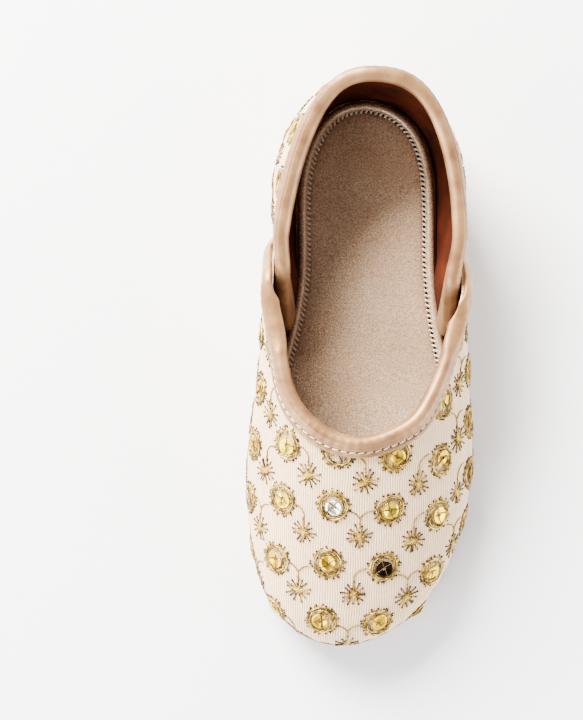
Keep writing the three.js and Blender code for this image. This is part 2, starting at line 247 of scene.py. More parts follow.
# %% [markdown]
# The wall of the last leaves the feather line, swells out and comes in to the topline. One cubic curve at
# each place does that: its two inner points are pushed outwards by the section's swell. All later pieces
# lie at a distance off this wall, so they nest as layers do on a real last.

# %% The last's wall


def vector(x, y, z):
    return np.stack(np.broadcast_arrays(x, y, z), axis=-1).astype(float)


def unit(vectors):
    return vectors / np.maximum(np.linalg.norm(vectors, axis=-1, keepdims=True), 1e-12)


def feather(u):
    return vector(at("across", u) * BALL_WIDTH / 2, y_of(at("along", u)), 0)


def outward(u):
    step = unit(feather(u + 0.001) - feather(u - 0.001))
    return vector(-step[..., 1], step[..., 0], 0)


def last_surface(u, v):
    u, v = np.broadcast_arrays(np.asarray(u, float), np.asarray(v, float))
    foot, out, front = feather(u), outward(u), at("front", u)
    height = SIDE_HEIGHT + at("back", u) * (COLLAR_HEIGHT - SIDE_HEIGHT) + front * (THROAT_HEIGHT - SIDE_HEIGHT)
    top = vector(at("top_across", u) * BALL_WIDTH / 2, y_of(at("top_along", u)), height)
    swell = SWELL * at("swell", u)[..., None]
    low = foot + 1.1 * swell * out
    low[..., 2] += height * mix(0.33, 0.37, front)
    high = top + 0.9 * swell * out
    high[..., :2] -= (top - foot)[..., :2] * 0.48 * front[..., None]
    high[..., 2] -= height * mix(0.33, 0.26, front)
    v, w = v[..., None], 1 - v[..., None]
    return foot * w**3 + low * 3 * w * w * v + high * 3 * w * v * v + top * v**3


def last_normal(u, v):
    along = last_surface(u + 0.001, v) - last_surface(u - 0.001, v)
    up = last_surface(u, v + 0.001) - last_surface(u, v - 0.001)
    normal = unit(np.cross(up, along))
    normal[..., 2] *= ease(np.asarray(v) / 0.12)
    return unit(normal)


def on_last(u, v, off):
    """Points at a distance off the last, with the last seated on the sole's curved top."""
    point = last_surface(u, v) + last_normal(u, v) * np.asarray(off)[..., None]
    w = 1 - np.asarray(v)
    point[..., 2] += (sole_top(share_of(point[..., 1])) + CLEARANCE) * (w**3 + 3 * w**2 * v)
    return point


print("topline at the heel", on_last(0.0, np.array(1.0), np.array(0.0)).round(1))

# %% [markdown]
# The vamp lies over the quarter at the sides. The quarter's front dives down inside, the vamp's rear comes
# down outside, and where they lap, the vamp stands off by the quarter's thickness and fades back to the
# last.

# %% Edges and laps of the two sheets


def quarter_edge(share):
    return (1 - np.clip((share - QUARTER_DIVE) / (QUARTER_FRONT - QUARTER_DIVE), 0, 1) ** 2) ** 0.8


def quarter_reach(v):
    return QUARTER_DIVE + (QUARTER_FRONT - QUARTER_DIVE) * (1 - np.clip(v, 0, 1) ** 1.25) ** 0.5


def vamp_edge(share):
    return (1 - np.clip((VAMP_TOP - share) / (VAMP_TOP - VAMP_REAR), 0, 1) ** 2.2) ** 0.9


def vamp_reach(v):
    return VAMP_TOP - (VAMP_TOP - VAMP_REAR) * (1 - np.clip(v, 0, 1) ** (1 / 0.9)) ** (1 / 2.2)


def wall_share(u, v):
    return mix(at("along", u), at("top_along", u), v)


def rising(v):
    return ease((v - 0.05) / 0.07)


def vamp_point(u, v, off):
    share = wall_share(u, v)
    medial = at("across", u) < 0
    flare = medial * FLARE * ease((v - 0.3) / 0.7) * ease((share - QUARTER_DIVE) / 0.08)
    stand = WALL - BITE + (BITE + CLEARANCE) * rising(v) + flare
    return on_last(u, v, stand * (1 - ease((share - quarter_reach(v) - LAP_CLEAR) / LAP_FADE)) + off)


def quarter_point(u, v, off):
    tuck = -TUCK * ease((wall_share(u, v) - QUARTER_DIVE + 0.06) / 0.085) * rising(v)
    return on_last(u, v, tuck + off)


print("the lap runs from", round(VAMP_REAR * LAST_LENGTH), "to", round(QUARTER_FRONT * LAST_LENGTH), "mm")

# %% [markdown]
# A grid looks even only if its columns are. The sections aren't evenly spaced, so places along a sheet are
# found by length, and the sheet's two ends by halving the distance to a share.

# %% Places along a sheet


def place_at(share, lateral):
    near, far = (0, TIP) if lateral else (COUNT, TIP)
    for _ in range(40):
        middle = (near + far) / 2
        if at("along", middle) < share:
            near = middle
        else:
            far = middle
    return (near + far) / 2


def even_places(first, last, edge, surface, count):
    """Places spaced evenly along a sheet, by the length of its edge and half the length of its foot."""
    u = np.linspace(first, last, 1201)
    rim = surface(u, edge(at("along", u)), np.zeros_like(u))
    foot = feather(u)
    steps = np.linalg.norm(np.diff(rim, axis=0), axis=1) + np.linalg.norm(np.diff(foot, axis=0), axis=1) / 2
    lengths = np.concatenate([[0], np.cumsum(steps)])
    return np.interp(np.linspace(0, lengths[-1], count), lengths, u)


QUARTER_ENDS = (place_at(quarter_reach(0.05), False), COUNT + place_at(quarter_reach(0.05), True))
VAMP_ENDS = (place_at(vamp_reach(0.03), True), place_at(vamp_reach(0.03), False))
print("ends", np.round([*QUARTER_ENDS, *VAMP_ENDS], 2))

# %% [markdown]
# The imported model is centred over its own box, while the functions above measure from the last's middle.
# The step between the two is read off the insole, which both of them have.

# %% From the last's middle to the frame's


def ring(u, off):
    """Points round the feather line, moved outwards by off."""
    return feather(u) + outward(u) * np.asarray(off)[..., None]


turns = np.linspace(0, COUNT, 2001)
outline = ring(turns, np.full(turns.shape, -INSOLE_GAP))
insole_low, insole_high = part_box("insole")
middle = (outline.min(0) + outline.max(0)) / 2
SHIFT = np.array(
    [
        (insole_low.x + insole_high.x) / 2 / MM - middle[0],
        (insole_low.y + insole_high.y) / 2 / MM - middle[1],
        0,
    ]
)
print("shift", SHIFT.round(3))

# %% [markdown]
# A mesh in Blender is a list of points and a list of faces. Grids of points from the functions above become
# meshes here, in the frame's metres, with all faces turned outwards. Every object stays at the origin and
# has its place in its points, so a pattern in object coordinates never slides.

# %% Points and faces into a mesh


def link(name, mesh):
    made = bpy.data.objects.new(name, mesh)
    bpy.context.scene.collection.objects.link(made)
    return made


def turn_outwards(mesh):
    work = bmesh.new()
    work.from_mesh(mesh)
    bmesh.ops.recalc_face_normals(work, faces=work.faces)
    work.to_mesh(mesh)
    work.free()


def build(name, points, faces):
    """A closed object with these points, in millimetres from the last's middle, and these faces."""
    mesh = bpy.data.meshes.new(name)
    mesh.from_pydata(((points + SHIFT) * MM).tolist(), [], faces)
    turn_outwards(mesh)
    mesh.shade_smooth()
    return link(name, mesh)


# %% [markdown]
# Materials and Geometry Nodes are both trees of nodes, and one function adds a node to either. Its settings
# are given by name. Its inputs are plain values, sockets, or other nodes, which then give their first
# output.

# %% Nodes


def out(source, name=None):
    """A node's output in use, by name or the first. A socket stands for itself."""
    if isinstance(source, bpy.types.NodeSocket):
        return source
    return next(socket for socket in source.outputs if socket.enabled and name in (None, socket.name))


def connect(tree, node, inputs):
    """Gives a node its inputs, by name or by number."""
    for name, value in inputs.items():
        if isinstance(name, int):
            socket = node.inputs[name]
        else:
            socket = next(socket for socket in node.inputs if socket.enabled and socket.name == name)
        if isinstance(value, (bpy.types.Node, bpy.types.NodeSocket)):
            tree.links.new(out(value), socket)
        else:
            socket.default_value = value


def add(tree, kind, inputs=None, **settings):
    """One node, with its settings first, because they decide which inputs it has."""
    made = tree.nodes.new(kind)
    for name, value in settings.items():
        setattr(made, name, value)
    connect(tree, made, inputs or {})
    return made


# %% [markdown]
# A finish starts as one Principled shader. What is the same all over, such as roughness, is set on the
# shader's own sockets, and nodes make the rest. Colours are written in hex, as on a screen, and turned to
# linear light.

# %% Finishes and colours


def colour(code):
    """A linear colour from an sRGB hex code."""
    parts = [int(code[i : i + 2], 16) / 255 for i in (1, 3, 5)]
    return (*[c / 12.92 if c <= 0.04045 else ((c + 0.055) / 1.055) ** 2.4 for c in parts], 1)


def surface_material(name, roughness, metallic=0.0, **shader):
    """A new material with one Principled shader, and its tree."""
    made = bpy.data.materials.new(name)
    made.use_nodes = True
    principled = made.node_tree.nodes["Principled BSDF"]
    principled.inputs["Roughness"].default_value = roughness
    principled.inputs["Metallic"].default_value = metallic
    for socket, value in shader.items():
        principled.inputs[socket.replace("_", " ")].default_value = value
    print("finish:", name)
    return made, made.node_tree, principled


def with_stops(ramp, *stops):
    """Gives a colour ramp its (place, hex code) stops."""
    points = ramp.color_ramp.elements
    while len(points) < len(stops):
        points.new(0.5)
    for point, (place, code) in zip(points, stops):
        point.position = place
        point.color = colour(code)
    return ramp


# %% [markdown]
# A finished piece gets its materials, rides on the shoe's one body, and says which slot of the record its
# finish stands for. A piece that stands for a solid hides it.

# %% Putting a piece into the frame


def dress(piece, slot_name, *materials, replaces=()):
    for material in materials:
        piece.data.materials.append(material)
    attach(piece, "root")
    if replaces:
        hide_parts(*replaces)
    piece.data.calc_loop_triangles()
    print(piece.name, len(piece.data.loop_triangles), "triangles")


# %% [markdown]
# The cloth is cut flat and then pulled over the last, so its ribs and embroidery follow the flat cut. To
# find that cut, the curved sheet is unfolded and then relaxed: each pair of neighbours pulls or pushes
# until it is as far apart on the flat chart as it is on the shoe. The chart becomes the sheet's UV map, 200
# mm to one unit.

# %% The flat cut of a curved sheet
CHART = 200
RELAX_PASSES = 900


def relax(points, flat):
    """Moves flat points until neighbours keep their lengths from the curved sheet."""
    pairs = ((1, 0), (0, 1), (1, 1), (1, -1), (2, 0), (0, 2))
    rows, columns = flat.shape[:2]
    for _ in range(RELAX_PASSES):
        total = np.zeros_like(flat)
        weight = np.zeros((rows, columns, 1))
        for a, b in pairs:
            first = (slice(0, rows - a), slice(max(0, -b), columns - max(0, b)))
            second = (slice(a, rows), slice(max(0, b), columns + min(0, b)))
            rest = np.linalg.norm(points[first] - points[second], axis=-1, keepdims=True)
            gap = flat[first] - flat[second]
            length = np.maximum(np.linalg.norm(gap, axis=-1, keepdims=True), 1e-9)
            move = gap * (rest / length - 1) / 2
            total[first] += move
            total[second] -= move
            weight[first] += 1
            weight[second] += 1
        flat = flat + 1.2 * total / weight
    return flat


def stretch_rows(coarse, columns, rows):
    """A fine grid read off a coarse one."""
    a = np.linspace(0, coarse.shape[0] - 1, columns)
    b = np.linspace(0, coarse.shape[1] - 1, rows)
    i = np.minimum(a.astype(int), coarse.shape[0] - 2)
    j = np.minimum(b.astype(int), coarse.shape[1] - 2)
    s, t = (a - i)[:, None, None], (b - j)[None, :, None]
    low = mix(coarse[i][:, j], coarse[i + 1][:, j], s)
    high = mix(coarse[i][:, j + 1], coarse[i + 1][:, j + 1], s)
    return mix(low, high, t)


# %% [markdown]
# Relaxing needs a fair start. The vamp is opened out from its top edge, as if it were pressed flat from
# above, and the quarter is rolled out along its middle.

# %% Grids on the last, and their first flat guess


def wall_grid(places, edge, surface, rows, off):
    """Points of a sheet: a column for each place, rows from the sole up to the edge."""
    u = places[:, None]
    v = edge(at("along", u)) * np.linspace(0, 1, rows)[None, :] ** 1.25
    u = np.broadcast_to(u, v.shape)
    return u, v, surface(u, v, np.full(v.shape, off))


def unfolded_vamp(points):
    """The vamp opened out from its top edge, seen from above."""
    steps = np.linalg.norm(np.diff(points, axis=1), axis=-1)
    drop = np.concatenate([np.cumsum(steps[:, ::-1], axis=1)[:, ::-1], np.zeros((len(points), 1))], axis=1)
    edge = points[:, -1, :2]
    turned = np.gradient(points[:, 0, :2], axis=0)
    out = unit(np.stack([-turned[:, 1], turned[:, 0]], axis=-1))
    way = unit(points[:, 0, :2] - edge + out * drop[:, :1])
    return edge[:, None] + way[:, None] * drop[..., None]


def unrolled_quarter(points):
    """The quarter rolled out along its middle."""
    middle = points[:, points.shape[1] // 2]
    along = np.concatenate([[0], np.cumsum(np.linalg.norm(np.diff(middle, axis=0), axis=1))])
    climb = np.cumsum(np.linalg.norm(np.diff(points, axis=1), axis=-1), axis=1)
    up = np.concatenate([np.zeros((len(points), 1)), climb], axis=1)
    return np.stack([np.broadcast_to(along[:, None] - along[-1] / 2, up.shape), up - up.mean()], axis=-1)


# %% [markdown]
# The cloth itself is one closed shell for the vamp and one for the quarter, with the outer skin, the lining
# and the thin rim between them. Soft creases are placed on the flat chart, in millimetres, where a foot
# bends the shoe and where the strips pull at the cloth. Just over the sole the lasted cloth puckers a
# little.

# %% Cloth shells
CREASES = {
    "vamp": (
        # from x, from y, to x, to y, depth, width
        (-34, 4, -22, -12, 0.3, 2.2),
        (-41, -6, -27, -19, 0.25, 2.6),
        (33, 6, 21, -10, 0.3, 2.2),
        (40, -4, 28, -17, 0.25, 2.6),
        (-14, -14, 12, -17, 0.16, 3.2),
    ),
    "quarter": (
        (-60, -6, -52, 9, 0.35, 2.6),
        (-49, -12, -43, 3, 0.25, 2.4),
        (58, -6, 50, 8, 0.3, 2.6),
        (-6, -12, 5, -13, 0.2, 2.5),
    ),
}


def crease_depth(chart, creases):
    depth = np.zeros(chart.shape[:-1])
    for x0, y0, x1, y1, deep, width in creases:
        start, way = np.array([x0, y0]), np.array([x1 - x0, y1 - y0])
        share = np.clip(((chart - start) @ way) / (way @ way), 0, 1)
        away = np.linalg.norm(chart - start - share[..., None] * way, axis=-1)
        taper = np.sin(np.pi * np.clip(share, 0.08, 0.92))
        dent = np.exp(-((away / width) ** 2))
        swell_beside = 0.45 * np.exp(-(((away - 2 * width) / width) ** 2))
        depth -= deep * taper * (dent - swell_beside)
    return depth


print({name: len(creases) for name, creases in CREASES.items()}, "creases")

# %% [markdown]
# Skin and lining are the same grid at two distances off the last, joined by a rim. The skin's chart is its
# UV map, and the lining's lies two units beside it. The attribute shown is 1 where no strip and no other
# sheet hides the cloth, and the embroidery will ask for it.

# %% A sheet of cloth with its lining
PUCKER_DEPTH = 0.16
PUCKER_LENGTH = 5.2
PUCKER_HEIGHT = 4.5


def cloth(name, ends, edge, surface, columns, rows, unfold, hidden_rim, covered):
    """A closed sheet with its flat cut as UV map, and where it shows as an attribute."""
    places = even_places(*ends, edge, surface, columns)
    u, v, points = wall_grid(places, edge, surface, rows, WALL)
    coarse_places = even_places(*ends, edge, surface, 61)
    coarse = wall_grid(coarse_places, edge, surface, 13, WALL)[2]
    chart = stretch_rows(relax(coarse, unfold(coarse)), columns, rows)
    chart -= (chart.reshape(-1, 2).min(0) + chart.reshape(-1, 2).max(0)) / 2
    foot_run = np.cumsum(np.linalg.norm(np.diff(points[:, 0], axis=0, prepend=points[:1, 0]), axis=1))[:, None]
    lift = points[..., 2] - points[:, :1, 2]
    waves = np.sin(foot_run * 2 * np.pi / PUCKER_LENGTH + 1.3 * np.sin(foot_run / 9))
    pucker = PUCKER_DEPTH * waves * np.exp(-((lift / PUCKER_HEIGHT) ** 2))
    outer = surface(u, v, WALL + pucker + crease_depth(chart, CREASES[name]))
    inner = surface(u, v, np.zeros(v.shape))
    size = columns * rows
    cell = np.arange(size).reshape(columns, rows)
    a, b, c, d = (part.ravel() for part in (cell[:-1, :-1], cell[1:, :-1], cell[1:, 1:], cell[:-1, 1:]))
    skin = np.stack([a, b, c, d], 1)
    rims = []
    for line in (cell[:, 0], cell[:, -1], cell[0], cell[-1]):
        rims.append(np.stack([line[:-1], line[1:], line[1:] + size, line[:-1] + size], 1))
    faces = np.concatenate([skin, skin + size, *rims])
    made = build(name + "_cloth", np.concatenate([outer.reshape(-1, 3), inner.reshape(-1, 3)]), faces.tolist())
    mesh = made.data
    is_lining = [len(skin) <= i < 2 * len(skin) for i in range(len(faces))]
    mesh.polygons.foreach_set("material_index", np.array(is_lining, np.int32))
    corner = np.zeros(len(mesh.loops), np.int32)
    mesh.loops.foreach_get("vertex_index", corner)
    on_face = np.repeat(np.arange(len(faces)), 4)
    uv = chart.reshape(-1, 2)[corner % size] / CHART + 0.5 + np.where(on_face < len(skin), 0, 2)[:, None]
    mesh.uv_layers.new(name="UVMap").data.foreach_set("uv", uv.astype(np.float32).ravel())
    rim = points[:, -1]
    away = np.linalg.norm(points[:, :, None] - rim[None, None, ::3], axis=-1).min(-1)
    shows = (away > hidden_rim) & ~covered(u, v)
    shown = mesh.attributes.new("shown", "FLOAT", "POINT")
    shown.data.foreach_set("value", np.tile(shows.ravel(), 2).astype(np.float32))
    mesh.set_sharp_from_angle(angle=math.radians(50))
    span = chart.reshape(-1, 2).max(0) - chart.reshape(-1, 2).min(0)
    print(name, "flat cut", span.round(1), "mm")
    return made


# %% [markdown]
# The vamp is steep at the toe and wide, so it has the finer grid. The strips hide about 4 mm along each
# edge, and the vamp hides the quarter in front of its own rear edge.

# %% Vamp and quarter
vamp = cloth(
    "vamp", VAMP_ENDS, vamp_edge, vamp_point, 321, 45, unfolded_vamp, 4.1, lambda u, v: np.zeros(v.shape, bool)
)
quarter = cloth(
    "quarter", QUARTER_ENDS, quarter_edge, quarter_point, 281, 27, unrolled_quarter, 3.9,
    lambda u, v: wall_share(u, v) > vamp_reach(v) - 0.004,
)

# %% [markdown]
# The strips that bind the edges are folded: a flat flange outside, a stitched groove, a soft roll over the
# edge and a leaf inside. One folded section is carried along each edge. Its points are laid on the sheet's
# own surface, so the strip follows every curve of the cloth that it holds.

# %% Folded sections
outer_face = WALL + BINDING_GAP
FLANGE = (
    # depth below the edge, height over the strip's underside, painted shade in the fold
    (BINDING_WIDTH, 0.02, 0), (4.42, 0.35, 0), (4.3, 0.64, 0), (3.8, 0.74, 0), (3.3, 0.66, 0.1),
    (3.04, 0.34, 0.7), (2.88, 0.26, 0.9), (2.72, 0.38, 0.7), (2.5, 0.78, 0),
)
SOFT_ROLL = (
    (2.15, 0.96, 0), (1.85, 0.98, 0), (1.6, 0.94, 0.15), (1.4, 0.95, 0.1), (1.1, 1.06, 0), (0.7, 1.13, 0),
    (0.2, 1.06, 0), (-0.3, 0.84, 0), (-0.85, 0.4, 0), (-1.2, -0.1, 0),
)
PLEATED_ROLL = (
    (2.2, 0.98, 0), (1.95, 0.96, 0), (1.7, 0.74, 0.6), (1.5, 0.72, 0.6), (1.25, 0.98, 0), (0.95, 1.1, 0),
    (0.65, 1.08, 0), (0.42, 0.86, 0.6), (0.28, 0.85, 0.6), (0.08, 1.08, 0), (-0.2, 1.08, 0), (-0.42, 0.86, 0.6),
    (-0.54, 0.68, 0.6), (-0.78, 0.7, 0), (-1.02, 0.45, 0), (-1.2, -0.1, 0),
)
print("strip's width", BINDING_WIDTH, "mm")
print("points over its face", len(FLANGE + SOFT_ROLL), "soft,", len(FLANGE + PLEATED_ROLL), "pleated")

# %% [markdown]
# To lay the section on curved cloth, each place along the edge needs to know which way is straight down the
# sheet, and how much u and v change in one millimetre of that way. Two tangents and their lengths give
# both.

# %% Which way the sheet runs under the edge


def fold_frames(places, edge, surface):
    """For each place, how u and v change per millimetre down into the sheet, and that direction."""
    v = edge(at("along", places))
    rim = surface(places, v, np.zeros(len(places)))
    tangent = unit(np.gradient(rim, axis=0))
    flat = np.zeros(len(places))
    along_u = (surface(places + 0.002, v, flat) - surface(places - 0.002, v, flat)) / 0.004
    along_v = (surface(places, v, flat) - surface(places, v - 0.004, flat)) / 0.004
    normal = unit(np.cross(along_v, along_u))
    inward = unit(np.cross(normal, tangent))
    inward *= np.where((inward * along_v).sum(-1) > 0, -1, 1)[:, None]
    uu, uv, vv = ((along_u**2).sum(-1), (along_u * along_v).sum(-1), (along_v**2).sum(-1))
    iu, iv = ((inward * along_u).sum(-1), (inward * along_v).sum(-1))
    det = uu * vv - uv * uv
    return v, inward, (iu * vv - iv * uv) / det, (iv * uu - iu * uv) / det


# %% [markdown]
# The strip runs over the roll, turns at the crown and comes down inside, or under the cloth where there is
# no inside to reach. A slow wave in its height is the pull of the seam. An attribute marks the folds, so
# that the film is drawn darker there as painted shade, and the seam's line is kept for the stitches.

# %% A folded strip


def binding(name, places, edge, surface, inside, foot, roll):
    """A strip along an edge. Inside is 1 where its inner leaf shows, and foot is the lowest v it may reach."""
    v, inward, du, dv = fold_frames(places, edge, surface)
    rim = surface(places, v, 0 * v)
    run = np.cumsum(np.linalg.norm(np.diff(rim, axis=0, prepend=rim[:1]), axis=1))

    def laid(depth, off):
        depth = np.broadcast_to(depth, v.shape)
        below = np.maximum(depth, 0)
        low_enough = np.maximum(v + dv * below, np.minimum(foot, v))
        point = surface(places + du * below, low_enough, np.broadcast_to(off, v.shape))
        return point + inward * np.minimum(depth, 0)[:, None]

    turned = ease(2 * inside)
    bottom = mix(0.05 - BINDING_SEAT, BINDING_INSIDE, ease(2 * inside - 1))
    back = mix(BINDING_GAP + BITE, -BINDING_GAP - BINDING_THICKNESS, turned)
    face = mix(BINDING_GAP + BITE + 0.1, -BINDING_GAP, turned)
    pull = 0.05 * np.sin(run * 2 * np.pi / 2.3) + 0.05 * np.sin(run / 3.1 + 0.7 * np.sin(run / 7))
    fold = FLANGE + roll
    rows = [
        laid(depth, outer_face + height + pull * (0.4 < height) * (depth > -1))
        for depth, height, _ in fold
    ]
    crown = -BINDING_SEAT - BINDING_ROLL
    for past_crown, share in ((0, 0.0), (0.02, 0.25), (0.2, 0.55), (0.5, 0.82), (0.95, 0.97)):
        rows.append(laid(crown + past_crown, mix(1.2, back, share)))
    rows += [laid(mix(crown + 0.95, bottom, t), back - 0.08 * math.sin(math.pi * t)) for t in (0.3, 0.65, 0.97)]
    rows += [laid(bottom, mix(back, face, 0.3)), laid(bottom, face), laid(-BINDING_SEAT, face)]
    rows += [laid(-BINDING_SEAT, outer_face), laid(SEAM_DEPTH, outer_face)]
    section = np.stack(rows, axis=1)
    columns, size = section.shape[:2]
    cell = np.arange(columns * size).reshape(columns, size)
    after = np.roll(cell, -1, axis=1)
    sides = np.stack([cell[:-1].ravel(), after[:-1].ravel(), after[1:].ravel(), cell[1:].ravel()], 1)
    made = build(name, section.reshape(-1, 3), [*sides.tolist(), cell[0].tolist(), cell[-1].tolist()])
    made.data.set_sharp_from_angle(angle=math.radians(60))
    # Painted shade: each row of the section carries how much darker the film is drawn in its fold.
    shades = [shade_of for *_, shade_of in fold] + [0.0] * (size - len(fold))
    painted_fold_shade = made.data.attributes.new("painted_fold_shade", "FLOAT", "POINT")
    painted_fold_shade.data.foreach_set("value", np.tile(np.array(shades, float), columns))
    seam = laid(SEAM_DEPTH, outer_face + 0.5)
    lift = unit(laid(SEAM_DEPTH, outer_face + 1.5) - seam)
    print(name, round(float(run[-1])), "mm long")
    return made, seam, lift


# %% [markdown]
# The throat's strip has a plain soft roll. Down the sides it only covers the vamp's cut edge, so its inner
# leaf comes in at the throat alone. The collar's strip is pleated by its tight curve and has a leaf all
# along.

# %% The throat's and the collar's strip
vamp_places = even_places(*VAMP_ENDS, vamp_edge, vamp_point, 361)
throat_leaf = np.clip((at("along", vamp_places) - VAMP_TOP) / 0.08, 0, 1)
throat_strip, throat_seam, throat_lift = binding(
    "throat_strip", vamp_places, vamp_edge, vamp_point, throat_leaf, 0.012, SOFT_ROLL
)
collar_places = even_places(*QUARTER_ENDS, quarter_edge, quarter_point, 361)
collar_places = collar_places[quarter_edge(at("along", collar_places)) > 0.16]
collar_strip, collar_seam, collar_lift = binding(
    "collar_strip", collar_places, quarter_edge, quarter_point, np.ones(len(collar_places)), 0.14, PLEATED_ROLL
)

# %% [markdown]
# The insole and the sole are plates with the foot's outline. Loops run round the edge, where the forms are,
# and a plain grid fills the middle, row by row from heel to toe. Loops and grid share their points, so the
# plate closes. A loop is named by its distance in from the outline.

# %% Plates with the foot's outline


def plate_places(off, inner, rows):
    """Places round the last whose points at the inner loop pair up across the plate, at these y."""
    fine_count = 8001
    fine = np.linspace(0, COUNT, fine_count)
    line = ring(fine, off(fine) - inner)[:, 1]
    far = int(np.argmin(line))
    half_round = fine_count // 2
    heel = int(np.argmax(np.roll(line, half_round))) - half_round
    lateral = np.interp(-rows, -line[max(heel, 0) : far], fine[max(heel, 0) : far])
    end = fine_count + heel if heel < 0 else fine_count
    medial = np.interp(rows, line[far:end], fine[far:end])
    toe = np.linspace(lateral[-1], medial[-1], 9)[1:-1]
    back = np.linspace(medial[0], lateral[0] + COUNT, 9)[1:-1]
    return lateral, medial, toe, back


def plate(name, off, inner, rows, top_loops, bottom_loops, columns, grid_top, grid_bottom):
    """A closed plate. A loop is (distance in, height function of points and row number)."""
    lateral, medial, toe, back = plate_places(off, inner, rows)
    places = np.concatenate([lateral, toe, medial[::-1], back])
    count = len(rows)
    row_of = np.concatenate([np.arange(count), np.full(7, count - 1), np.arange(count)[::-1], np.full(7, 0)])
    points, faces = [], []

    def loop(inset, height):
        line = ring(places, off(places) - inset)
        line[:, 2] = height(line[:, 1], row_of)
        points.append(line)
        return np.arange(len(places)) + sum(len(part) for part in points[:-1])

    def joined(first, second):
        after, next_after = np.roll(first, -1), np.roll(second, -1)
        faces.extend(np.stack([first, after, next_after, second], 1).tolist())

    def filled(edge, height):
        line = points[-1]
        left, right = line[:count], line[count + 7 : 2 * count + 7][::-1]
        shares = columns(np.abs(right[:, 0] - left[:, 0]))
        inner_points = mix(left[:, None], right[:, None], shares[..., None])
        inner_points[..., 2] = height(inner_points, np.arange(count))
        start = sum(len(part) for part in points)
        points.append(inner_points.reshape(-1, 3))
        wide = shares.shape[1]
        cell = np.arange(count * wide).reshape(count, wide) + start
        cell = np.concatenate([edge[:count, None], cell, edge[count + 7 : 2 * count + 7][::-1, None]], 1)
        corners = (cell[:-1, :-1], cell[:-1, 1:], cell[1:, 1:], cell[1:, :-1])
        faces.extend(np.stack([part.ravel() for part in corners], 1).tolist())
        faces.append([*cell[-1].tolist(), *edge[count : count + 7][::-1].tolist()])
        faces.append([*cell[0].tolist(), *edge[2 * count + 7 :].tolist()])

    first = previous = loop(*top_loops[0])
    filled(first, grid_top)
    for inset, height in [*top_loops[1:], *bottom_loops[:-1]]:
        current = loop(inset, height)
        joined(previous, current)
        previous = current
    last_loop = loop(*bottom_loops[-1])
    joined(previous, last_loop)
    filled(last_loop, grid_bottom)
    return build(name, np.concatenate(points), faces)


# %% [markdown]
# The insole is a board faced with soft metallic leather. A rolled band runs round its edge, then comes a
# narrow channel where thread is whipped over, and the middle is a little crowned.

# %% Insole
insole_rows = y_of(mix(0.073, 0.937, (1 - np.cos(np.pi * np.linspace(0.03, 0.97, 90))) / 2))


def insole_top(y):
    return sole_top(share_of(y)) + CLEARANCE + INSOLE_THICKNESS


def raised(height):
    return lambda y, row: insole_top(y) + height


def flat_columns(width):
    return np.tile(np.linspace(0, 1, 14)[1:-1], (len(width), 1))


insole_loops = [(inset, raised(height)) for inset, height in (
    (9, 0.3), (6, 0.32), (4.2, 0.28), (3.5, 0.12), (3.05, -0.25), (2.8, -0.65), (2.55, -0.4), (2.25, 0.15),
    (1.85, 0.48), (1.35, 0.6), (0.85, 0.5), (0.4, 0.15), (0.1, -0.35), (0, -1),
)]
insole = plate(
    "insole_board", lambda u: np.full(np.shape(u), -INSOLE_GAP), 9, insole_rows, insole_loops,
    [(0, raised(-INSOLE_THICKNESS + 0.2)), (0.3, raised(-INSOLE_THICKNESS)), (9, raised(-INSOLE_THICKNESS))],
    flat_columns, lambda points, row: insole_top(points[..., 1]) + 0.3,
    lambda points, row: insole_top(points[..., 1]) - INSOLE_THICKNESS,
)

# %% [markdown]
# The sole is one moulding. The heel block drops to the floor at the breast, the waist arches and holds an
# empty framed panel, and heel and forepart have a sunk tread. Height steps are tied to row numbers, with
# two rows close together at each step, so that every wall stands straight.

# %% Sole body


def lap_at(u):
    share = at("along", u)
    rise = ease((share - VAMP_REAR + 0.08) / 0.08)
    return (WALL - BITE) * rise * (1 - ease((share - QUARTER_FRONT - LAP_CLEAR) / LAP_FADE))


def sole_off(u):
    return lap_at(u) + WALL + SOLE_MARGIN


breast = y_of(HEEL_BREAST)
tread_line = ring(turns, sole_off(turns) - TREAD_BORDER)[:, 1]
heel_tread = (tread_line.max() - 1.5, breast + HEEL_BAR)
fore_tread = (y_of(TREAD_BACK), tread_line.min() + 1.5)
panel_rows = (y_of(PANEL_CENTRE) + PANEL_LENGTH / 2, y_of(PANEL_CENTRE) - PANEL_LENGTH / 2)
steps = [*heel_tread, breast, *panel_rows, *fore_tread]
plain = mix(tread_line.max() - 0.4, tread_line.min() + 0.4, (1 - np.cos(np.pi * np.linspace(0, 1, 110))) / 2)
plain = [y for y in plain if min(abs(y - step) for step in steps) > 0.5]
sole_rows = np.array(sorted([*plain, *(s + 0.08 for s in steps), *(s - 0.08 for s in steps)], reverse=True))
on_heel = sole_rows > breast
in_heel, in_fore, in_panel = (
    (sole_rows < rear) & (sole_rows > front) for rear, front in (heel_tread, fore_tread, panel_rows)
)
in_tread = in_heel | in_fore
print("rows", len(sole_rows), "of which on the heel", on_heel.sum(), "in a tread", in_tread.sum())

# %% [markdown]
# A plate asks for heights as functions of a point and its row. The wall rises from the underside to the
# top, a channel is sunk only in front of the heel, and the underside has the treads and the panel pressed
# into it.

# %% The sole's heights
CHANNEL_DEPTH = 0.5


def underside(y, row):
    return np.where(on_heel[row], 0, sole_bottom(np.maximum(share_of(y), HEEL_BREAST)))


def side_wall(share, drop=0.0):
    def height(y, row):
        return mix(underside(y, row), sole_top(share_of(y)), share) + drop
    return height


def sunk(depth, where):
    def height(y, row):
        return underside(y, row) + depth * where[row]
    return height


def sole_columns(width):
    half = np.minimum(PANEL_WIDTH / 2, 0.3 * width)[:, None] / width[:, None]
    inside = np.linspace(-1, 1, 7)[None, :] * (half - 0.06 / width[:, None])
    shares = np.concatenate([0.25 - 0 * half, 0.5 - half, 0.5 + inside, 0.5 + half, 0.75 + 0 * half], 1)
    shares[:, 0] = shares[:, 1] / 2
    shares[:, -1] = (shares[:, -2] + 1) / 2
    return shares


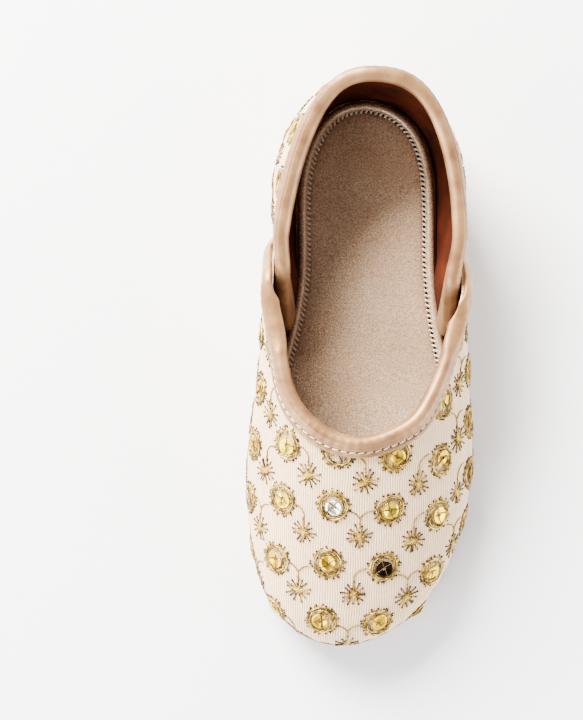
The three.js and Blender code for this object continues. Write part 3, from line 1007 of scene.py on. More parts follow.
def sole_grid(points, row):
    height = underside(points[..., 1], row[:, None]) + RIB_DEPTH * in_tread[:, None]
    height[:, 2:-2] += PANEL_DEPTH * in_panel[:, None]
    return height


def channel(depth):
    return sunk(depth, ~on_heel)


# %% [markdown]
# The loops come in from the wall: a rounded edge, then two channels 0.5 mm deep with their teeth to come,
# then the step down into the tread. On top, the feather edge is rounded over so that light catches it.

# %% The sole's loops
sole_top_loops = [
    (TREAD_BORDER, side_wall(1)), (1.2, side_wall(1)), (0.5, side_wall(1, -0.04)), (0.14, side_wall(1, -0.2)),
    (0, side_wall(1, -0.5)), (0.06, side_wall(0.7)),
]
sole_bottom_loops = [
    (0, side_wall(0.42)), (0.16, side_wall(0.26)), (0.42, side_wall(0.1)),
    (0.7, sunk(0.12, np.ones(len(sole_rows)))), (1.0, sunk(0, on_heel)),
]
for start in (1.5, 4.0):
    for inset, depth in ((0, 0), (0.12, CHANNEL_DEPTH), (0.6, CHANNEL_DEPTH), (0.72, 0)):
        sole_bottom_loops.append((start + inset, channel(depth)))
sole_bottom_loops += [(TREAD_BORDER - 0.05, channel(0)), (TREAD_BORDER, sunk(RIB_DEPTH, in_tread))]
sole = plate(
    "sole_body", sole_off, TREAD_BORDER, sole_rows, sole_top_loops, sole_bottom_loops, sole_columns,
    lambda points, row: sole_top(share_of(points[..., 1])), sole_grid,
)
sole.data.set_sharp_from_angle(angle=math.radians(35))

# %% [markdown]
# Patterns are set in millimetres. Object coordinates are in metres and the cloth's UV map is 200 mm to one
# unit, so a Mapping node multiplies them, and a texture's scale is then close to one over its real size.

# %% Coordinates in millimetres


def millimetres(tree, source="Object"):
    coordinates = add(tree, "ShaderNodeTexCoord")
    unit_size = CHART if source == "UV" else 1000
    return add(tree, "ShaderNodeMapping", {"Vector": out(coordinates, source), "Scale": (unit_size,) * 3})


# %% [markdown]
# The outer cloth is a cotton rib, woven and then lightly pressed: matt and soft, with a faint fuzz that
# lightens its edges. The dark lines are painted shade in the gaps between ribs, 0.68 mm apart. They follow
# the flat cut, so they bend over the toe as the cloth does, and they waver a little, as pulled cloth does.

# %% Cream ribbed cloth
RIB_SPACING = 0.68
WAVE_PERIODS = 20 / (2 * math.pi)
rib_cloth, tree, principled = surface_material(
    "Woven ribbed cotton, cream", 0.9, Sheen_Weight=0.08, Sheen_Roughness=0.5
)
flat_cut = millimetres(tree, "UV")
wobble = add(tree, "ShaderNodeTexNoise", {"Vector": flat_cut, "Scale": 0.35, "Detail": 2.0})
wave_inputs = {
    "Vector": flat_cut, "Scale": 1 / WAVE_PERIODS / RIB_SPACING,
    "Distortion": 4.5, "Detail": 1.0, "Detail Scale": 0.3,
}
wave = add(tree, "ShaderNodeTexWave", wave_inputs, bands_direction="X")
weave = add(tree, "ShaderNodeTexNoise", {"Vector": flat_cut, "Scale": 2.6, "Detail": 3.0})
ribs = add(
    tree, "ShaderNodeMix", {"Factor": 0.35, "A": out(wave, "Color"), "B": out(weave, "Color")}, data_type="RGBA"
)
# Painted shade: the ramp's dark brown stop draws the gaps between ribs.
shade = with_stops(
    add(tree, "ShaderNodeValToRGB", {"Fac": ribs}), (0.14, "#836A4E"), (0.36, "#E0C098"), (0.7, "#F4D4A8")
)
patches = with_stops(add(tree, "ShaderNodeValToRGB", {"Fac": wobble}), (0.3, "#EFDFD2"), (0.7, "#FFFFFF"))
cloth_colour = add(
    tree, "ShaderNodeMix", {"Factor": 0.5, "A": shade, "B": patches}, data_type="RGBA", blend_type="MULTIPLY"
)
relief = add(tree, "ShaderNodeBump", {"Height": ribs, "Strength": 0.5, "Distance": 0.25 * MM})
connect(tree, principled, {"Base Color": cloth_colour, "Normal": relief})

# %% [markdown]
# The lining is a brushed polyester knit, thin and rust brown. Its colour is set far darker than the knit's
# own rust, as painted shade for the inside of the shoe. It has almost no gloss, and shows only slow
# patches where the brush pressed more.

# %% Rust-brown lining
lining, tree, principled = surface_material(
    "Brushed polyester lining, rust brown, painted shade", 0.95, Specular_IOR_Level=0.08
)
grain = millimetres(tree)
nap = add(tree, "ShaderNodeTexNoise", {"Vector": grain, "Scale": 1.6, "Detail": 4.0})
patch = add(tree, "ShaderNodeTexNoise", {"Vector": grain, "Scale": 0.09, "Detail": 2.0})
# Painted shade: both stops are far darker than the rust knit itself.
base = with_stops(add(tree, "ShaderNodeValToRGB", {"Fac": patch}), (0.3, "#2B0E05"), (0.7, "#4E1E0B"))
napped = add(
    tree, "ShaderNodeMix", {"Factor": 0.12, "A": base, "B": out(nap, "Color")},
    data_type="RGBA", blend_type="OVERLAY",
)
relief = add(tree, "ShaderNodeBump", {"Height": nap, "Strength": 0.3, "Distance": 0.2 * MM})
connect(tree, principled, {"Base Color": napped, "Normal": relief})

# %% [markdown]
# The strips are polyurethane film on a knitted back. A printed grain of fine pores and lines along the pull
# breaks its satin gloss, and a pearl pigment makes it half metallic. The folds carry painted shade: the
# strip's fold attribute darkens the film there.

# %% Beige binding
binding_film, tree, principled = surface_material(
    "Polyurethane film, rose beige", 0.42, 0.45, Coat_Weight=0.15, Coat_Roughness=0.35
)
grain = millimetres(tree)
pores = add(tree, "ShaderNodeTexVoronoi", {"Vector": grain, "Scale": 2.2, "Randomness": 1.0})
cloud = add(tree, "ShaderNodeTexNoise", {"Vector": grain, "Scale": 0.16, "Detail": 3.0})
pull_lines = add(tree, "ShaderNodeTexNoise", {"Vector": grain, "Scale": 0.7, "Detail": 3.0, "Distortion": 0.6})
base = with_stops(
    add(tree, "ShaderNodeValToRGB", {"Fac": cloud}), (0.3, "#70492A"), (0.55, "#8F673F"), (0.8, "#AA8257")
)
film_colour = add(
    tree, "ShaderNodeMix", {"Factor": 0.1, "A": base, "B": out(pull_lines, "Color")},
    data_type="RGBA", blend_type="SOFT_LIGHT",
)
# Painted shade in the folds: the fold attribute mixes the film's colour toward dark brown.
painted_shade_in_fold = out(add(tree, "ShaderNodeAttribute", attribute_name="painted_fold_shade"), "Fac")
folded = add(
    tree, "ShaderNodeMix", {"Factor": painted_shade_in_fold, "A": film_colour, "B": colour("#6B4A2C")}, data_type="RGBA"
)
grained = add(tree, "ShaderNodeMix", {"Factor": 0.6, "A": pores, "B": pull_lines}, data_type="RGBA")
relief = add(tree, "ShaderNodeBump", {"Height": grained, "Strength": 0.22, "Distance": 0.25 * MM})
connect(tree, principled, {"Base Color": folded, "Normal": relief})

# %% [markdown]
# The insole is embossed polyurethane with a metallic pigment. Its pebble grain is about 0.45 mm wide. A
# fine noise makes each facet lighter or darker, partly the grain's own speckle and partly painted glitter,
# under slow cloudy patches of painted lustre.

# %% Insole leather
insole_skin, tree, principled = surface_material("Embossed metallic polyurethane, pewter rose", 0.4, 0.5)
grain = millimetres(tree)
pebbles = add(tree, "ShaderNodeTexVoronoi", {"Vector": grain, "Scale": 2.2}, feature="F1")
# Grain and painted glitter: this noise shapes the relief and lightens and darkens the colour facet by facet.
grain_and_painted_glints = add(tree, "ShaderNodeTexNoise", {"Vector": grain, "Scale": 2.4, "Detail": 4.0})
cloud = add(tree, "ShaderNodeTexNoise", {"Vector": grain, "Scale": 0.07, "Detail": 3.0})
base = with_stops(
    add(tree, "ShaderNodeValToRGB", {"Fac": grain_and_painted_glints}), (0.3, "#A68464"), (0.5, "#D4B08C"), (0.7, "#F2D8B8")
)
# Painted lustre: slow cloudy patches that dim the colour.
painted_sheen = with_stops(add(tree, "ShaderNodeValToRGB", {"Fac": cloud}), (0.3, "#E6D8CE"), (0.7, "#FFFFFF"))
skin_colour = add(
    tree, "ShaderNodeMix", {"Factor": 0.6, "A": base, "B": painted_sheen}, data_type="RGBA", blend_type="MULTIPLY"
)
embossed = add(tree, "ShaderNodeMix", {"Factor": 0.5, "A": pebbles, "B": grain_and_painted_glints}, data_type="RGBA")
relief = add(tree, "ShaderNodeBump", {"Height": embossed, "Strength": 0.4, "Distance": 0.3 * MM})
connect(tree, principled, {"Base Color": skin_colour, "Normal": relief})

# %% [markdown]
# The sole is thermoplastic rubber, injected into a blasted mould. The blasting leaves a soft matt face, and
# the flow of the melt leaves slow changes of its pinkish brown.

# %% Sole rubber
sole_rubber, tree, principled = surface_material("Moulded thermoplastic rubber, pink brown", 0.55)
grain = millimetres(tree)
blast = add(tree, "ShaderNodeTexNoise", {"Vector": grain, "Scale": 2.0, "Detail": 3.0})
flow = add(tree, "ShaderNodeTexNoise", {"Vector": grain, "Scale": 0.05, "Detail": 3.0})
base = with_stops(add(tree, "ShaderNodeValToRGB", {"Fac": flow}), (0.3, "#6E4322"), (0.7, "#825430"))
rubber_colour = add(
    tree, "ShaderNodeMix", {"Factor": 0.08, "A": base, "B": out(blast, "Color")},
    data_type="RGBA", blend_type="OVERLAY",
)
relief = add(tree, "ShaderNodeBump", {"Height": blast, "Strength": 0.18, "Distance": 0.15 * MM})
connect(tree, principled, {"Base Color": rubber_colour, "Normal": relief})

# %% [markdown]
# Each main piece now takes its finish. The cloth's two sheets have the rib outside and the lining inside,
# and together they stand for the plain upper. The other four stand for one solid each.

# %% Dressing the main pieces
dress(vamp, "fabric", rib_cloth, lining, replaces=["upper"])
dress(quarter, "fabric", rib_cloth, lining)
dress(throat_strip, "binding", binding_film, replaces=["vamp_binding"])
dress(collar_strip, "binding", binding_film, replaces=["collar_binding"])
dress(insole, "insole", insole_skin, replaces=["insole"])
dress(sole, "sole", sole_rubber, replaces=["outsole"])

# %% [markdown]
# Stitches, ribs, teeth and threads repeat, so Geometry Nodes make them. A tree starts from a mesh of seed
# points, whose attributes tell each copy its size, turn or finish. It ends by realizing the instances,
# because the export keeps plain meshes only, and the evaluated result is kept in place of the modifier.

# %% Growing pieces from seeds
ATTRIBUTE = "GeometryNodeInputNamedAttribute"


def new_tree(name, **sockets):
    """An empty tree with named inputs: the tree, what its inputs give, and its end."""
    tree = bpy.data.node_groups.new(name, "GeometryNodeTree")
    for label, kind in {"Geometry": "Geometry", **sockets}.items():
        tree.interface.new_socket(label, in_out="INPUT", socket_type="NodeSocket" + kind)
    tree.interface.new_socket("Geometry", in_out="OUTPUT", socket_type="NodeSocketGeometry")
    return tree, tree.nodes.new("NodeGroupInput").outputs, tree.nodes.new("NodeGroupOutput")


def close_tree(tree, geometry, given, end):
    """Instances realized, smooth and in their finish."""
    real = add(tree, "GeometryNodeRealizeInstances", {"Geometry": geometry})
    smooth = add(tree, "GeometryNodeSetShadeSmooth", {"Geometry": real})
    finished = add(tree, "GeometryNodeSetMaterial", {"Geometry": smooth, "Material": given["Finish"]})
    connect(tree, end, {"Geometry": finished})
    print("tree:", tree.name, len(tree.nodes), "nodes")


def seeds(name, points, edges=(), shift=True, **attributes):
    """Points, or lines of points, in millimetres, with attributes by name."""
    mesh = bpy.data.meshes.new(name)
    moved = (np.asarray(points, float) + (SHIFT if shift else 0)) * MM
    mesh.from_pydata(moved.tolist(), list(edges), [])
    for label, data in attributes.items():
        kind = "FLOAT_VECTOR" if data.ndim == 2 else "INT" if data.dtype.kind == "i" else "FLOAT"
        made = mesh.attributes.new(label, kind, "POINT")
        made.data.foreach_set("vector" if data.ndim == 2 else "value", data.ravel())
    return link(name, mesh)


def grown(name, base, tree, **values):
    """Runs a tree on the seeds and keeps the result as a plain mesh."""
    modifier = base.modifiers.new("grow", "NODES")
    modifier.node_group = tree
    for item in tree.interface.items_tree:
        if item.in_out == "INPUT" and item.name in values:
            modifier[item.identifier] = values[item.name]
    depsgraph = bpy.context.evaluated_depsgraph_get()
    mesh = bpy.data.meshes.new_from_object(
        base.evaluated_get(depsgraph), preserve_all_data_layers=True, depsgraph=depsgraph
    )
    mesh.name = name
    bpy.data.objects.remove(base)
    return link(name, mesh)


# %% [markdown]
# The first tree sets one small shape again and again along a path. The path carries, as an attribute, the
# direction away from the surface that it lies on. Each copy's X axis follows the path and its Z axis that
# direction, and a slant turns it about its own Z.

# %% Copies along a path
along_path, given, end = new_tree(
    "Along a path", Shape="Object", Pitch="Float", Size="Vector", Slant="Float", Finish="Material"
)
curve = add(along_path, "GeometryNodeMeshToCurve", {"Mesh": given["Geometry"]})
spaced = add(along_path, "GeometryNodeResampleCurve", {"Curve": curve, "Length": given["Pitch"]}, mode="LENGTH")
tangent = add(along_path, "GeometryNodeInputTangent")
aimed = add(along_path, "FunctionNodeAlignRotationToVector", {"Vector": tangent}, axis="X")
lift = add(along_path, ATTRIBUTE, {"Name": "lift"}, data_type="FLOAT_VECTOR")
upright = add(
    along_path, "FunctionNodeAlignRotationToVector", {"Rotation": aimed, "Vector": lift},
    axis="Z", pivot_axis="X",
)
slant = add(along_path, "FunctionNodeAxisAngleToRotation", {"Axis": (0, 0, 1), "Angle": given["Slant"]})
turned = add(
    along_path, "FunctionNodeRotateRotation", {"Rotation": upright, "Rotate By": slant}, rotation_space="LOCAL"
)
shape = out(add(along_path, "GeometryNodeObjectInfo", {"Object": given["Shape"]}), "Geometry")
placed = add(
    along_path, "GeometryNodeInstanceOnPoints",
    {"Points": spaced, "Instance": shape, "Rotation": turned, "Scale": given["Size"]},
)
close_tree(along_path, placed, given, end)


def spun(name, stations, sides=6):
    """A small closed shape along X through (x, radius, height) stations."""
    points, faces = [], []
    for x, radius, z in stations:
        for k in range(sides):
            turn = 2 * math.pi * k / sides
            points.append((x, radius * math.cos(turn), z + radius * math.sin(turn)))
    for i in range(len(stations) - 1):
        for k in range(sides):
            after = (k + 1) % sides
            faces.append((i * sides + k, i * sides + after, (i + 1) * sides + after, (i + 1) * sides + k))
    faces += [tuple(range(sides)), tuple(range((len(stations) - 1) * sides, len(stations) * sides))]
    mesh = bpy.data.meshes.new(name)
    mesh.from_pydata(points, [], faces)
    turn_outwards(mesh)
    return link(name, mesh)


def along(name, points, lift, shape, pitch, size, slant, finish, closed=False):
    """Copies of a shape along a line of points, with sizes in millimetres."""
    count = len(points)
    edges = [(i, (i + 1) % count) for i in range(count if closed else count - 1)]
    return grown(
        name, seeds(name + " path", points, edges, lift=lift), along_path,
        Shape=shape, Pitch=pitch * MM, Size=tuple(value * MM for value in size), Slant=slant, Finish=finish,
    )


# %% [markdown]
# Thread is spun polyester. Its twist is too fine to show, so flecks of painted highlight and shade stand
# for it. Each needle hole is a small near-black shape of painted shade, with a few flecks in it.

# %% Threads and needle holes
small_finishes = []
for name, roughness, fleck_scale, dark, light, shader in (
    ("Spun polyester thread, ivory", 0.6, 4.0, (0.35, "#C9B296"), (0.6, "#F0E2CC"), {"Sheen_Weight": 0.3}),
    ("Spun polyester thread, beige", 0.6, 4.0, (0.35, "#B08E6A"), (0.6, "#D9BB98"), {"Sheen_Weight": 0.3}),
    # a needle hole: a near-black finish of painted shade
    ("Needle hole, painted shade", 1.0, 3.0, (0.35, "#120A05"), (0.65, "#26180D"), {"Specular_IOR_Level": 0.0}),
):
    made, tree, principled = surface_material(name, roughness, **shader)
    # Flecks of painted highlight and shade; in the hole's finish they are dark painted shade.
    flecks = add(tree, "ShaderNodeTexNoise", {"Vector": millimetres(tree), "Scale": fleck_scale, "Detail": 2.0})
    tints = with_stops(add(tree, "ShaderNodeValToRGB", {"Fac": flecks}), dark, light)
    connect(tree, principled, {"Base Color": tints})
    small_finishes.append(made)
ivory_thread, beige_thread, hole_shade = small_finishes

# %% [markdown]
# A stitch is a short loop whose two ends dip into their holes. The strips are sewn in the groove of their
# flange, with pale thread on the vamp and thread of the film's own beige on the collar. Round the insole
# the thread is whipped over the channel, so its stitches are close and slanted, each beside a dark shape
# of painted shade at its hole.

# %% Stitches on the strips and round the insole
WHIP_PITCH = 1.45
HALF_A_STITCH = 0.0018 * COUNT
stitch = spun("stitch", [
    (-0.5, 0.25, -0.6), (-0.42, 0.42, -0.05), (-0.2, 0.5, 0.1), (0.2, 0.5, 0.1), (0.42, 0.42, -0.05),
    (0.5, 0.25, -0.6),
])
throat_stitches = along(
    "throat_stitches", throat_seam, throat_lift, stitch, 2.35, (1.85, 0.4, 0.38), 0.12, ivory_thread
)
collar_stitches = along(
    "collar_stitches", collar_seam, collar_lift, stitch, 2.35, (1.9, 0.42, 0.36), 0.1, beige_thread
)
round_places = np.linspace(0, COUNT, 700, endpoint=False)
straight_up = vector(0 * round_places, 0, 1)
whip_line = ring(round_places, np.full(700, -INSOLE_GAP - 2.75))
whip_line[:, 2] = insole_top(whip_line[:, 1]) - 0.02
whip_stitches = along(
    "whip_stitches", whip_line, straight_up, stitch, WHIP_PITCH, (1.9, 0.6, 0.6), 1.0, ivory_thread, closed=True
)
# Painted shade at the needle holes: dark shapes half a stitch along, beside each whip stitch.
hole_line = ring(round_places + HALF_A_STITCH, np.full(700, -INSOLE_GAP - 3.0))
hole_line[:, 2] = insole_top(hole_line[:, 1]) - 0.28
whip_holes = along(
    "whip_holes", hole_line, straight_up, stitch, WHIP_PITCH, (0.6, 0.75, 0.5), 0.3, hole_shade, closed=True
)
dress(whip_holes, "insole")
dress(throat_stitches, "binding")
dress(collar_stitches, "binding")
dress(whip_stitches, "insole")

# %% [markdown]
# Under the shoe the tread is a row of rounded ribs, each as wide as the sole allows. A rib's half length
# and its lean come with its seed point, as the attributes reach and lean, so one tree makes them all from
# one shape.

# %% Ribs under heel and forefoot
bars, given, end = new_tree(
    "Bars by their own length", Shape="Object", Width="Float", Depth="Float", Finish="Material"
)
shape = out(add(bars, "GeometryNodeObjectInfo", {"Object": given["Shape"]}), "Geometry")
reach = add(bars, ATTRIBUTE, {"Name": "reach"})
size = add(bars, "ShaderNodeCombineXYZ", {"X": reach, "Y": given["Width"], "Z": given["Depth"]})
lean = add(bars, "ShaderNodeCombineXYZ", {"X": add(bars, ATTRIBUTE, {"Name": "lean"})})
turn = add(bars, "FunctionNodeEulerToRotation", {"Euler": lean})
placed = add(
    bars, "GeometryNodeInstanceOnPoints",
    {"Points": given["Geometry"], "Instance": shape, "Rotation": turn, "Scale": size},
)
close_tree(bars, placed, given, end)

rib = spun("rib", [
    (-1, 0.05, 0), (-0.985, 0.42, 0), (-0.96, 0.5, 0), (0.96, 0.5, 0), (0.985, 0.42, 0), (1, 0.05, 0),
], 8)
rib_line = ring(turns, sole_off(turns) - TREAD_BORDER)
far = int(np.argmin(rib_line[:, 1]))
rib_y = np.concatenate([
    np.arange(back_edge - RIB_PITCH / 2 - 0.3, front_edge + 0.6, -RIB_PITCH)
    for back_edge, front_edge in (heel_tread, fore_tread)
])


def tread_sides(y):
    """The tread's lateral and medial edge at y."""
    lateral = np.interp(-y, -rib_line[:far, 1], rib_line[:far, 0])
    medial = np.interp(y, rib_line[far:, 1], rib_line[far:, 0])
    return lateral, medial


lateral_x, medial_x = tread_sides(rib_y)
rib_low = np.where(rib_y > breast, 0, sole_bottom(share_of(rib_y)))
slope = np.where(rib_y > breast, 0, sole_bottom(share_of(rib_y - 0.5)) - sole_bottom(share_of(rib_y + 0.5)))
rib_seeds = seeds(
    "rib seeds", vector((lateral_x + medial_x) / 2, rib_y, rib_low + 0.62),
    reach=(np.abs(lateral_x - medial_x) / 2 - 0.25) * MM, lean=-np.arctan(slope),
)
sole_ribs = grown(
    "sole_ribs", rib_seeds, bars, Shape=rib, Width=1.35 * MM, Depth=1.2 * MM, Finish=sole_rubber
)
dress(sole_ribs, "sole")

# %% [markdown]
# Two lines of small teeth, a moulder's copy of stitching, follow the sole's edge in front of the heel. They
# use the path tree again, turned to the floor, and the two rows are joined to one piece.

# %% Teeth along the sole's edge
tooth = spun("tooth", [(-0.5, 0.02, 0), (0, 0.6, 0), (0.5, 0.02, 0)], 4)
start, finish = place_at(HEEL_BREAST + 0.006, True), place_at(HEEL_BREAST + 0.006, False)
run = np.linspace(start, finish, 500)
work = bmesh.new()
for inset in (1.98, 4.48):
    line = ring(run, sole_off(run) - inset)
    line[:, 2] = sole_bottom(share_of(line[:, 1])) + 0.38
    row = along("tooth row", line, vector(0 * run, 0, -1), tooth, 0.95, (0.9, 0.5, 0.6), 0.0, sole_rubber)
    work.from_mesh(row.data)
    bpy.data.objects.remove(row)
sole_teeth = link("sole_teeth", bpy.data.meshes.new("sole_teeth"))
work.to_mesh(sole_teeth.data)
work.free()
dress(sole_teeth, "sole", sole_rubber)

# %% [markdown]
# The panel under the waist holds a low raised plate with rounded corners and a bevelled edge. It is left
# bare. Four loops of points, from the panel's floor up to the plate's face, are enough for it.

# %% Plate in the waist's panel
CORNER_POINTS = 6
LOOP_POINTS = 4 * CORNER_POINTS
panel_y = y_of(PANEL_CENTRE)
panel_x = sum(float(side) for side in tread_sides(panel_y)) / 2
angles = np.radians(np.concatenate([np.linspace(q, q + 90, CORNER_POINTS) for q in (0, 90, 180, 270)]))
sign_x = np.repeat([1, -1, -1, 1], CORNER_POINTS)
sign_y = np.repeat([1, 1, -1, -1], CORNER_POINTS)
plate_loops = []
for half_x, half_y, radius, drop in (
    (6.9, 3.6, 0.9, 0.72), (6.9, 3.6, 0.9, 0.3), (6.6, 3.3, 0.7, 0.06), (6.2, 2.9, 0.5, 0.0)
):
    x = panel_x + sign_x * (half_x - radius) + radius * np.cos(angles)
    y = panel_y + sign_y * (half_y - radius) + radius * np.sin(angles)
    plate_loops.append(vector(x, y, sole_bottom(share_of(y)) + drop))
ids = np.arange(4 * LOOP_POINTS).reshape(4, LOOP_POINTS)
after = np.roll(ids, -1, axis=1)
bands = np.stack([ids[:-1], after[:-1], after[1:], ids[1:]], axis=-1).reshape(-1, 4)
waist_plate = build(
    "waist_plate", np.concatenate(plate_loops), [*bands.tolist(), ids[0].tolist(), ids[-1].tolist()]
)
waist_plate.data.set_sharp_from_angle(angle=math.radians(30))
dress(waist_plate, "sole", sole_rubber)

# %% [markdown]
# The embroidery repeats on a slanting lattice: round suns with a sequin, and small stars half a step
# between them, each with a stem that forks to its neighbour suns. It is worked on the flat cloth, so it is
# charted flat too, in millimetres. Each thread is a line of points that carry their height over the cloth,
# their thickness and a value of painted light, from 0 for painted shade at a gap or knot to 1 for a painted
# glint of bright metal. Hand guidance is never even, so every number wavers a little, by one chain of
# chance with a fixed seed.

# %% Threads that go round, and threads that stand out
chance = random.Random(41)


def jitter(amount):
    return chance.uniform(-amount, amount)


def circle_thread(radii, count, height, girth, tone):
    """A closed thread that steps between radii as it goes round, a little off the middle."""
    line = []
    start = jitter(3)
    off_x, off_y = jitter(0.3), jitter(0.3)
    for k in range(count):
        turn = start + 2 * math.pi * (k + jitter(0.3)) / count
        radius = radii[k % len(radii)] + jitter(0.12)
        x, y = off_x + radius * math.cos(turn), off_y + radius * math.sin(turn)
        line.append((x, y, height + jitter(0.04), girth, tone + jitter(0.45)))
    return [*line, line[0]]


def ray_thread(turn, near, far, height, girth, tone):
    """A short straight thread with a knot of painted shade at its end."""
    bend = turn + jitter(0.12)
    spots = (
        # distance out, turn, thickness, painted shade to glint
        (near, turn, 1.2, tone + 0.2), ((near + far) / 2, (turn + bend) / 2, 1.2, tone),
        # the knot at the end: 0, painted shade
        (far - 0.5, bend, 1.15, tone - 0.25), (far - 0.35, bend, 1.6, 0), (far, bend, 1.5, 0),
    )
    return [
        (r * math.cos(at_turn), r * math.sin(at_turn), height, girth * wide, shade)
        for r, at_turn, wide, shade in spots
    ]


# %% [markdown]
# A sun is six loose rounds of thread, a fringe of short spikes, and a cross of two or three threads that
# holds the sequin down. A star is a dozen long spikes over a tuft of short ones. A stem is a beaded stalk
# with one or two curls. A few variants of each are charted, and the lattice picks among them.

# %% Suns, stars and stems
SPIKES = 24
TUFT = 7


def sun_threads():
    lines = [
        circle_thread((2.95, 4.0, 3.1, 3.8), 44, 0.12, 1.05, 0.25),
        circle_thread((3.35, 4.15, 3.5, 4.3), 40, 0.26, 1.0, 0.45),
        circle_thread((3.0, 4.3, 3.6), 36, 0.2, 0.95, 0.4),
        circle_thread((2.65, 2.8), 26, 0.42, 0.95, 0.3),
        circle_thread((3.2, 3.3), 24, 0.36, 0.9, 0.65),
        circle_thread((3.75, 3.85), 26, 0.4, 0.9, 0.55),
    ]
    for k in range(SPIKES):
        turn = 2 * math.pi * (k + jitter(0.25)) / SPIKES
        lines.append(ray_thread(turn, 3.6, 4.85 + jitter(0.35), 0.1, 0.95, 0.45))
    cross = jitter(0.8)
    for k in range(2 + (chance.random() > 0.5)):
        turn = cross + math.pi * k / 2 + jitter(0.2)
        for way in (0, math.pi):
            spots = ((0.1, 0.34), (1.3, 0.5), (2.35, 0.62), (2.8, 0.2))
            across, up = math.cos(turn + way), math.sin(turn + way)
            # A finished piece gets its materials and rides on the shoe's one body. A piece that stands for a
            # solid hides it.
            lines.append([(r * across, r * up, z, 0.75, 0.15) for r, z in spots])
    return lines


def star_threads():
    lines = []
    start, count = jitter(3), chance.choice((12, 13, 14))
    for k in range(count):
        reach = 3.45 + jitter(0.45)
        turn = start + 2 * math.pi * (k + jitter(0.2)) / count
        lines.append(ray_thread(turn, 0.2, reach, 0.14, 1.05, 0.45 + jitter(0.25)))
    for k in range(TUFT):
        turn = start + 2 * math.pi * (k + 0.5 + jitter(0.3)) / TUFT
        lines.append(ray_thread(turn, 0.1, 1.8 + jitter(0.4), 0.26, 1, 0.5))
    return lines


def stem_threads(ways):
    stalk = [
        (0.0, 2.6, 0.14, 1.5, 0.3), (0.12, 3.2, 0.2, 1.1, 0.6), (-0.08, 3.8, 0.14, 1.5, 0.25),
        (0.1, 4.5, 0.18, 1.1, 0.55), (0, 5.2, 0.14, 1, 0.4),
    ]
    lines = [stalk]
    for way in ways:
        spots = ((0, 5.2), (0.45, 6.0), (1.2, 6.75), (2.2, 7.2), (3.4, 7.45))
        lines.append([(way * x, y + jitter(0.08), 0.14, 1, 0.35 + jitter(0.1)) for x, y in spots])
    return lines


def motif(name, lines, shelf):
    """Threads as loose lines of points, kept on a shelf, outside the scene."""
    points, edges, girth, tone = [], [], [], []
    for line in lines:
        start = len(points)
        edges += [(start + i, start + i + 1) for i in range(len(line) - 1)]
        for x, y, z, wide, shade in line:
            points.append((x, y, z))
            girth.append(wide)
            tone.append(min(max(shade, 0), 1))
    made = seeds(name, points, edges, shift=False, girth=np.array(girth), tone=np.array(tone))
    bpy.context.scene.collection.objects.unlink(made)
    shelf.objects.link(made)


shelves = {}
for kind, variants in (
    ("suns", [sun_threads() for _ in range(5)]),
    ("stars", [star_threads() for _ in range(4)]),
    ("stems", [stem_threads(ways) for ways in ((1,), (1, -1), (-1,), (1, -1))]),
):
    shelves[kind] = bpy.data.collections.new(kind)
    bpy.context.scene.collection.children.link(shelves[kind])
    for number, lines in enumerate(variants):
        motif(f"{kind} {number}", lines, shelves[kind])
    print(kind, len(variants), "variants, the first of", len(variants[0]), "threads")

# %% [markdown]
# A lattice place is a step i across the shoe and a step j along it. On the vamp the cloth was pulled a
# little askew, so its rows lean and bow, and they lie further apart over the toe. The quarter's rows run
# straight.

# %% The lattice
SUN_STEP = 15.35
ROW_TOE = 16.9
ROW_HEEL = 15.2


def vamp_lattice(i, j):
    grain = -11.4 - j * (ROW_TOE if j > 0 else ROW_HEEL)
    x = -7.8 + SUN_STEP * i + 0.07 * (grain + 12)
    return x, grain - 0.11 * x - 0.006 * x * x


def quarter_lattice(i, j):
    return 3 + SUN_STEP * i, -8 + ROW_HEEL * j


def lattice(place, columns, rows, half):
    return [place(i + half, j + half) for i in columns for j in rows]


def motif_seeds(name, places, variants, turns=None):
    """A seed for each place, with its variant, its turn and a number of its own."""
    count = len(places)
    return seeds(
        name, [(x, y, 0) for x, y in places], shift=False,
        kind=np.array([chance.randrange(variants) for _ in range(count)]),
        turn=np.array([jitter(3) if turns is None else turns for _ in range(count)]),
        shine=np.array([chance.random() for _ in range(count)]),
    )


# %% [markdown]
# Draping takes a point of the flat chart to the shoe. Sample UV Surface looks up the sheet under that
# point, and gives the place there, the direction out of the cloth, and whether the place shows. What lies
# off the sheet, under a strip or under the other sheet is left out.

# %% Draping a chart on its sheet


def drape_fields(tree, sheet):
    """The point itself, where it lands on the sheet, the direction out, and whether it is hidden."""
    position = add(tree, "GeometryNodeInputPosition")
    uv_map = add(tree, ATTRIBUTE, {"Name": "UVMap"}, data_type="FLOAT_VECTOR")
    uv = add(
        tree, "ShaderNodeVectorMath", {0: position, 1: (1 / (CHART * MM),) * 3, 2: (0.5, 0.5, 0)},
        operation="MULTIPLY_ADD",
    )
    landed, facing, shown = (
        add(
            tree, "GeometryNodeSampleUVSurface",
            {"Mesh": sheet, "Value": value, "UV Map": uv_map, "Sample UV": uv},
            data_type=kind,
        )
        for kind, value in (
            ("FLOAT_VECTOR", add(tree, "GeometryNodeInputPosition")),
            ("FLOAT_VECTOR", add(tree, "GeometryNodeInputNormal")),
            ("FLOAT", add(tree, ATTRIBUTE, {"Name": "shown"})),
        )
    )
    clear = add(tree, "FunctionNodeCompare", {"A": shown, "B": 0.5}, operation="GREATER_THAN", data_type="FLOAT")
    good = add(tree, "FunctionNodeBooleanMath", {0: clear, 1: out(landed, "Is Valid")}, operation="AND")
    hidden = add(tree, "FunctionNodeBooleanMath", {0: good}, operation="NOT")
    return position, landed, facing, hidden


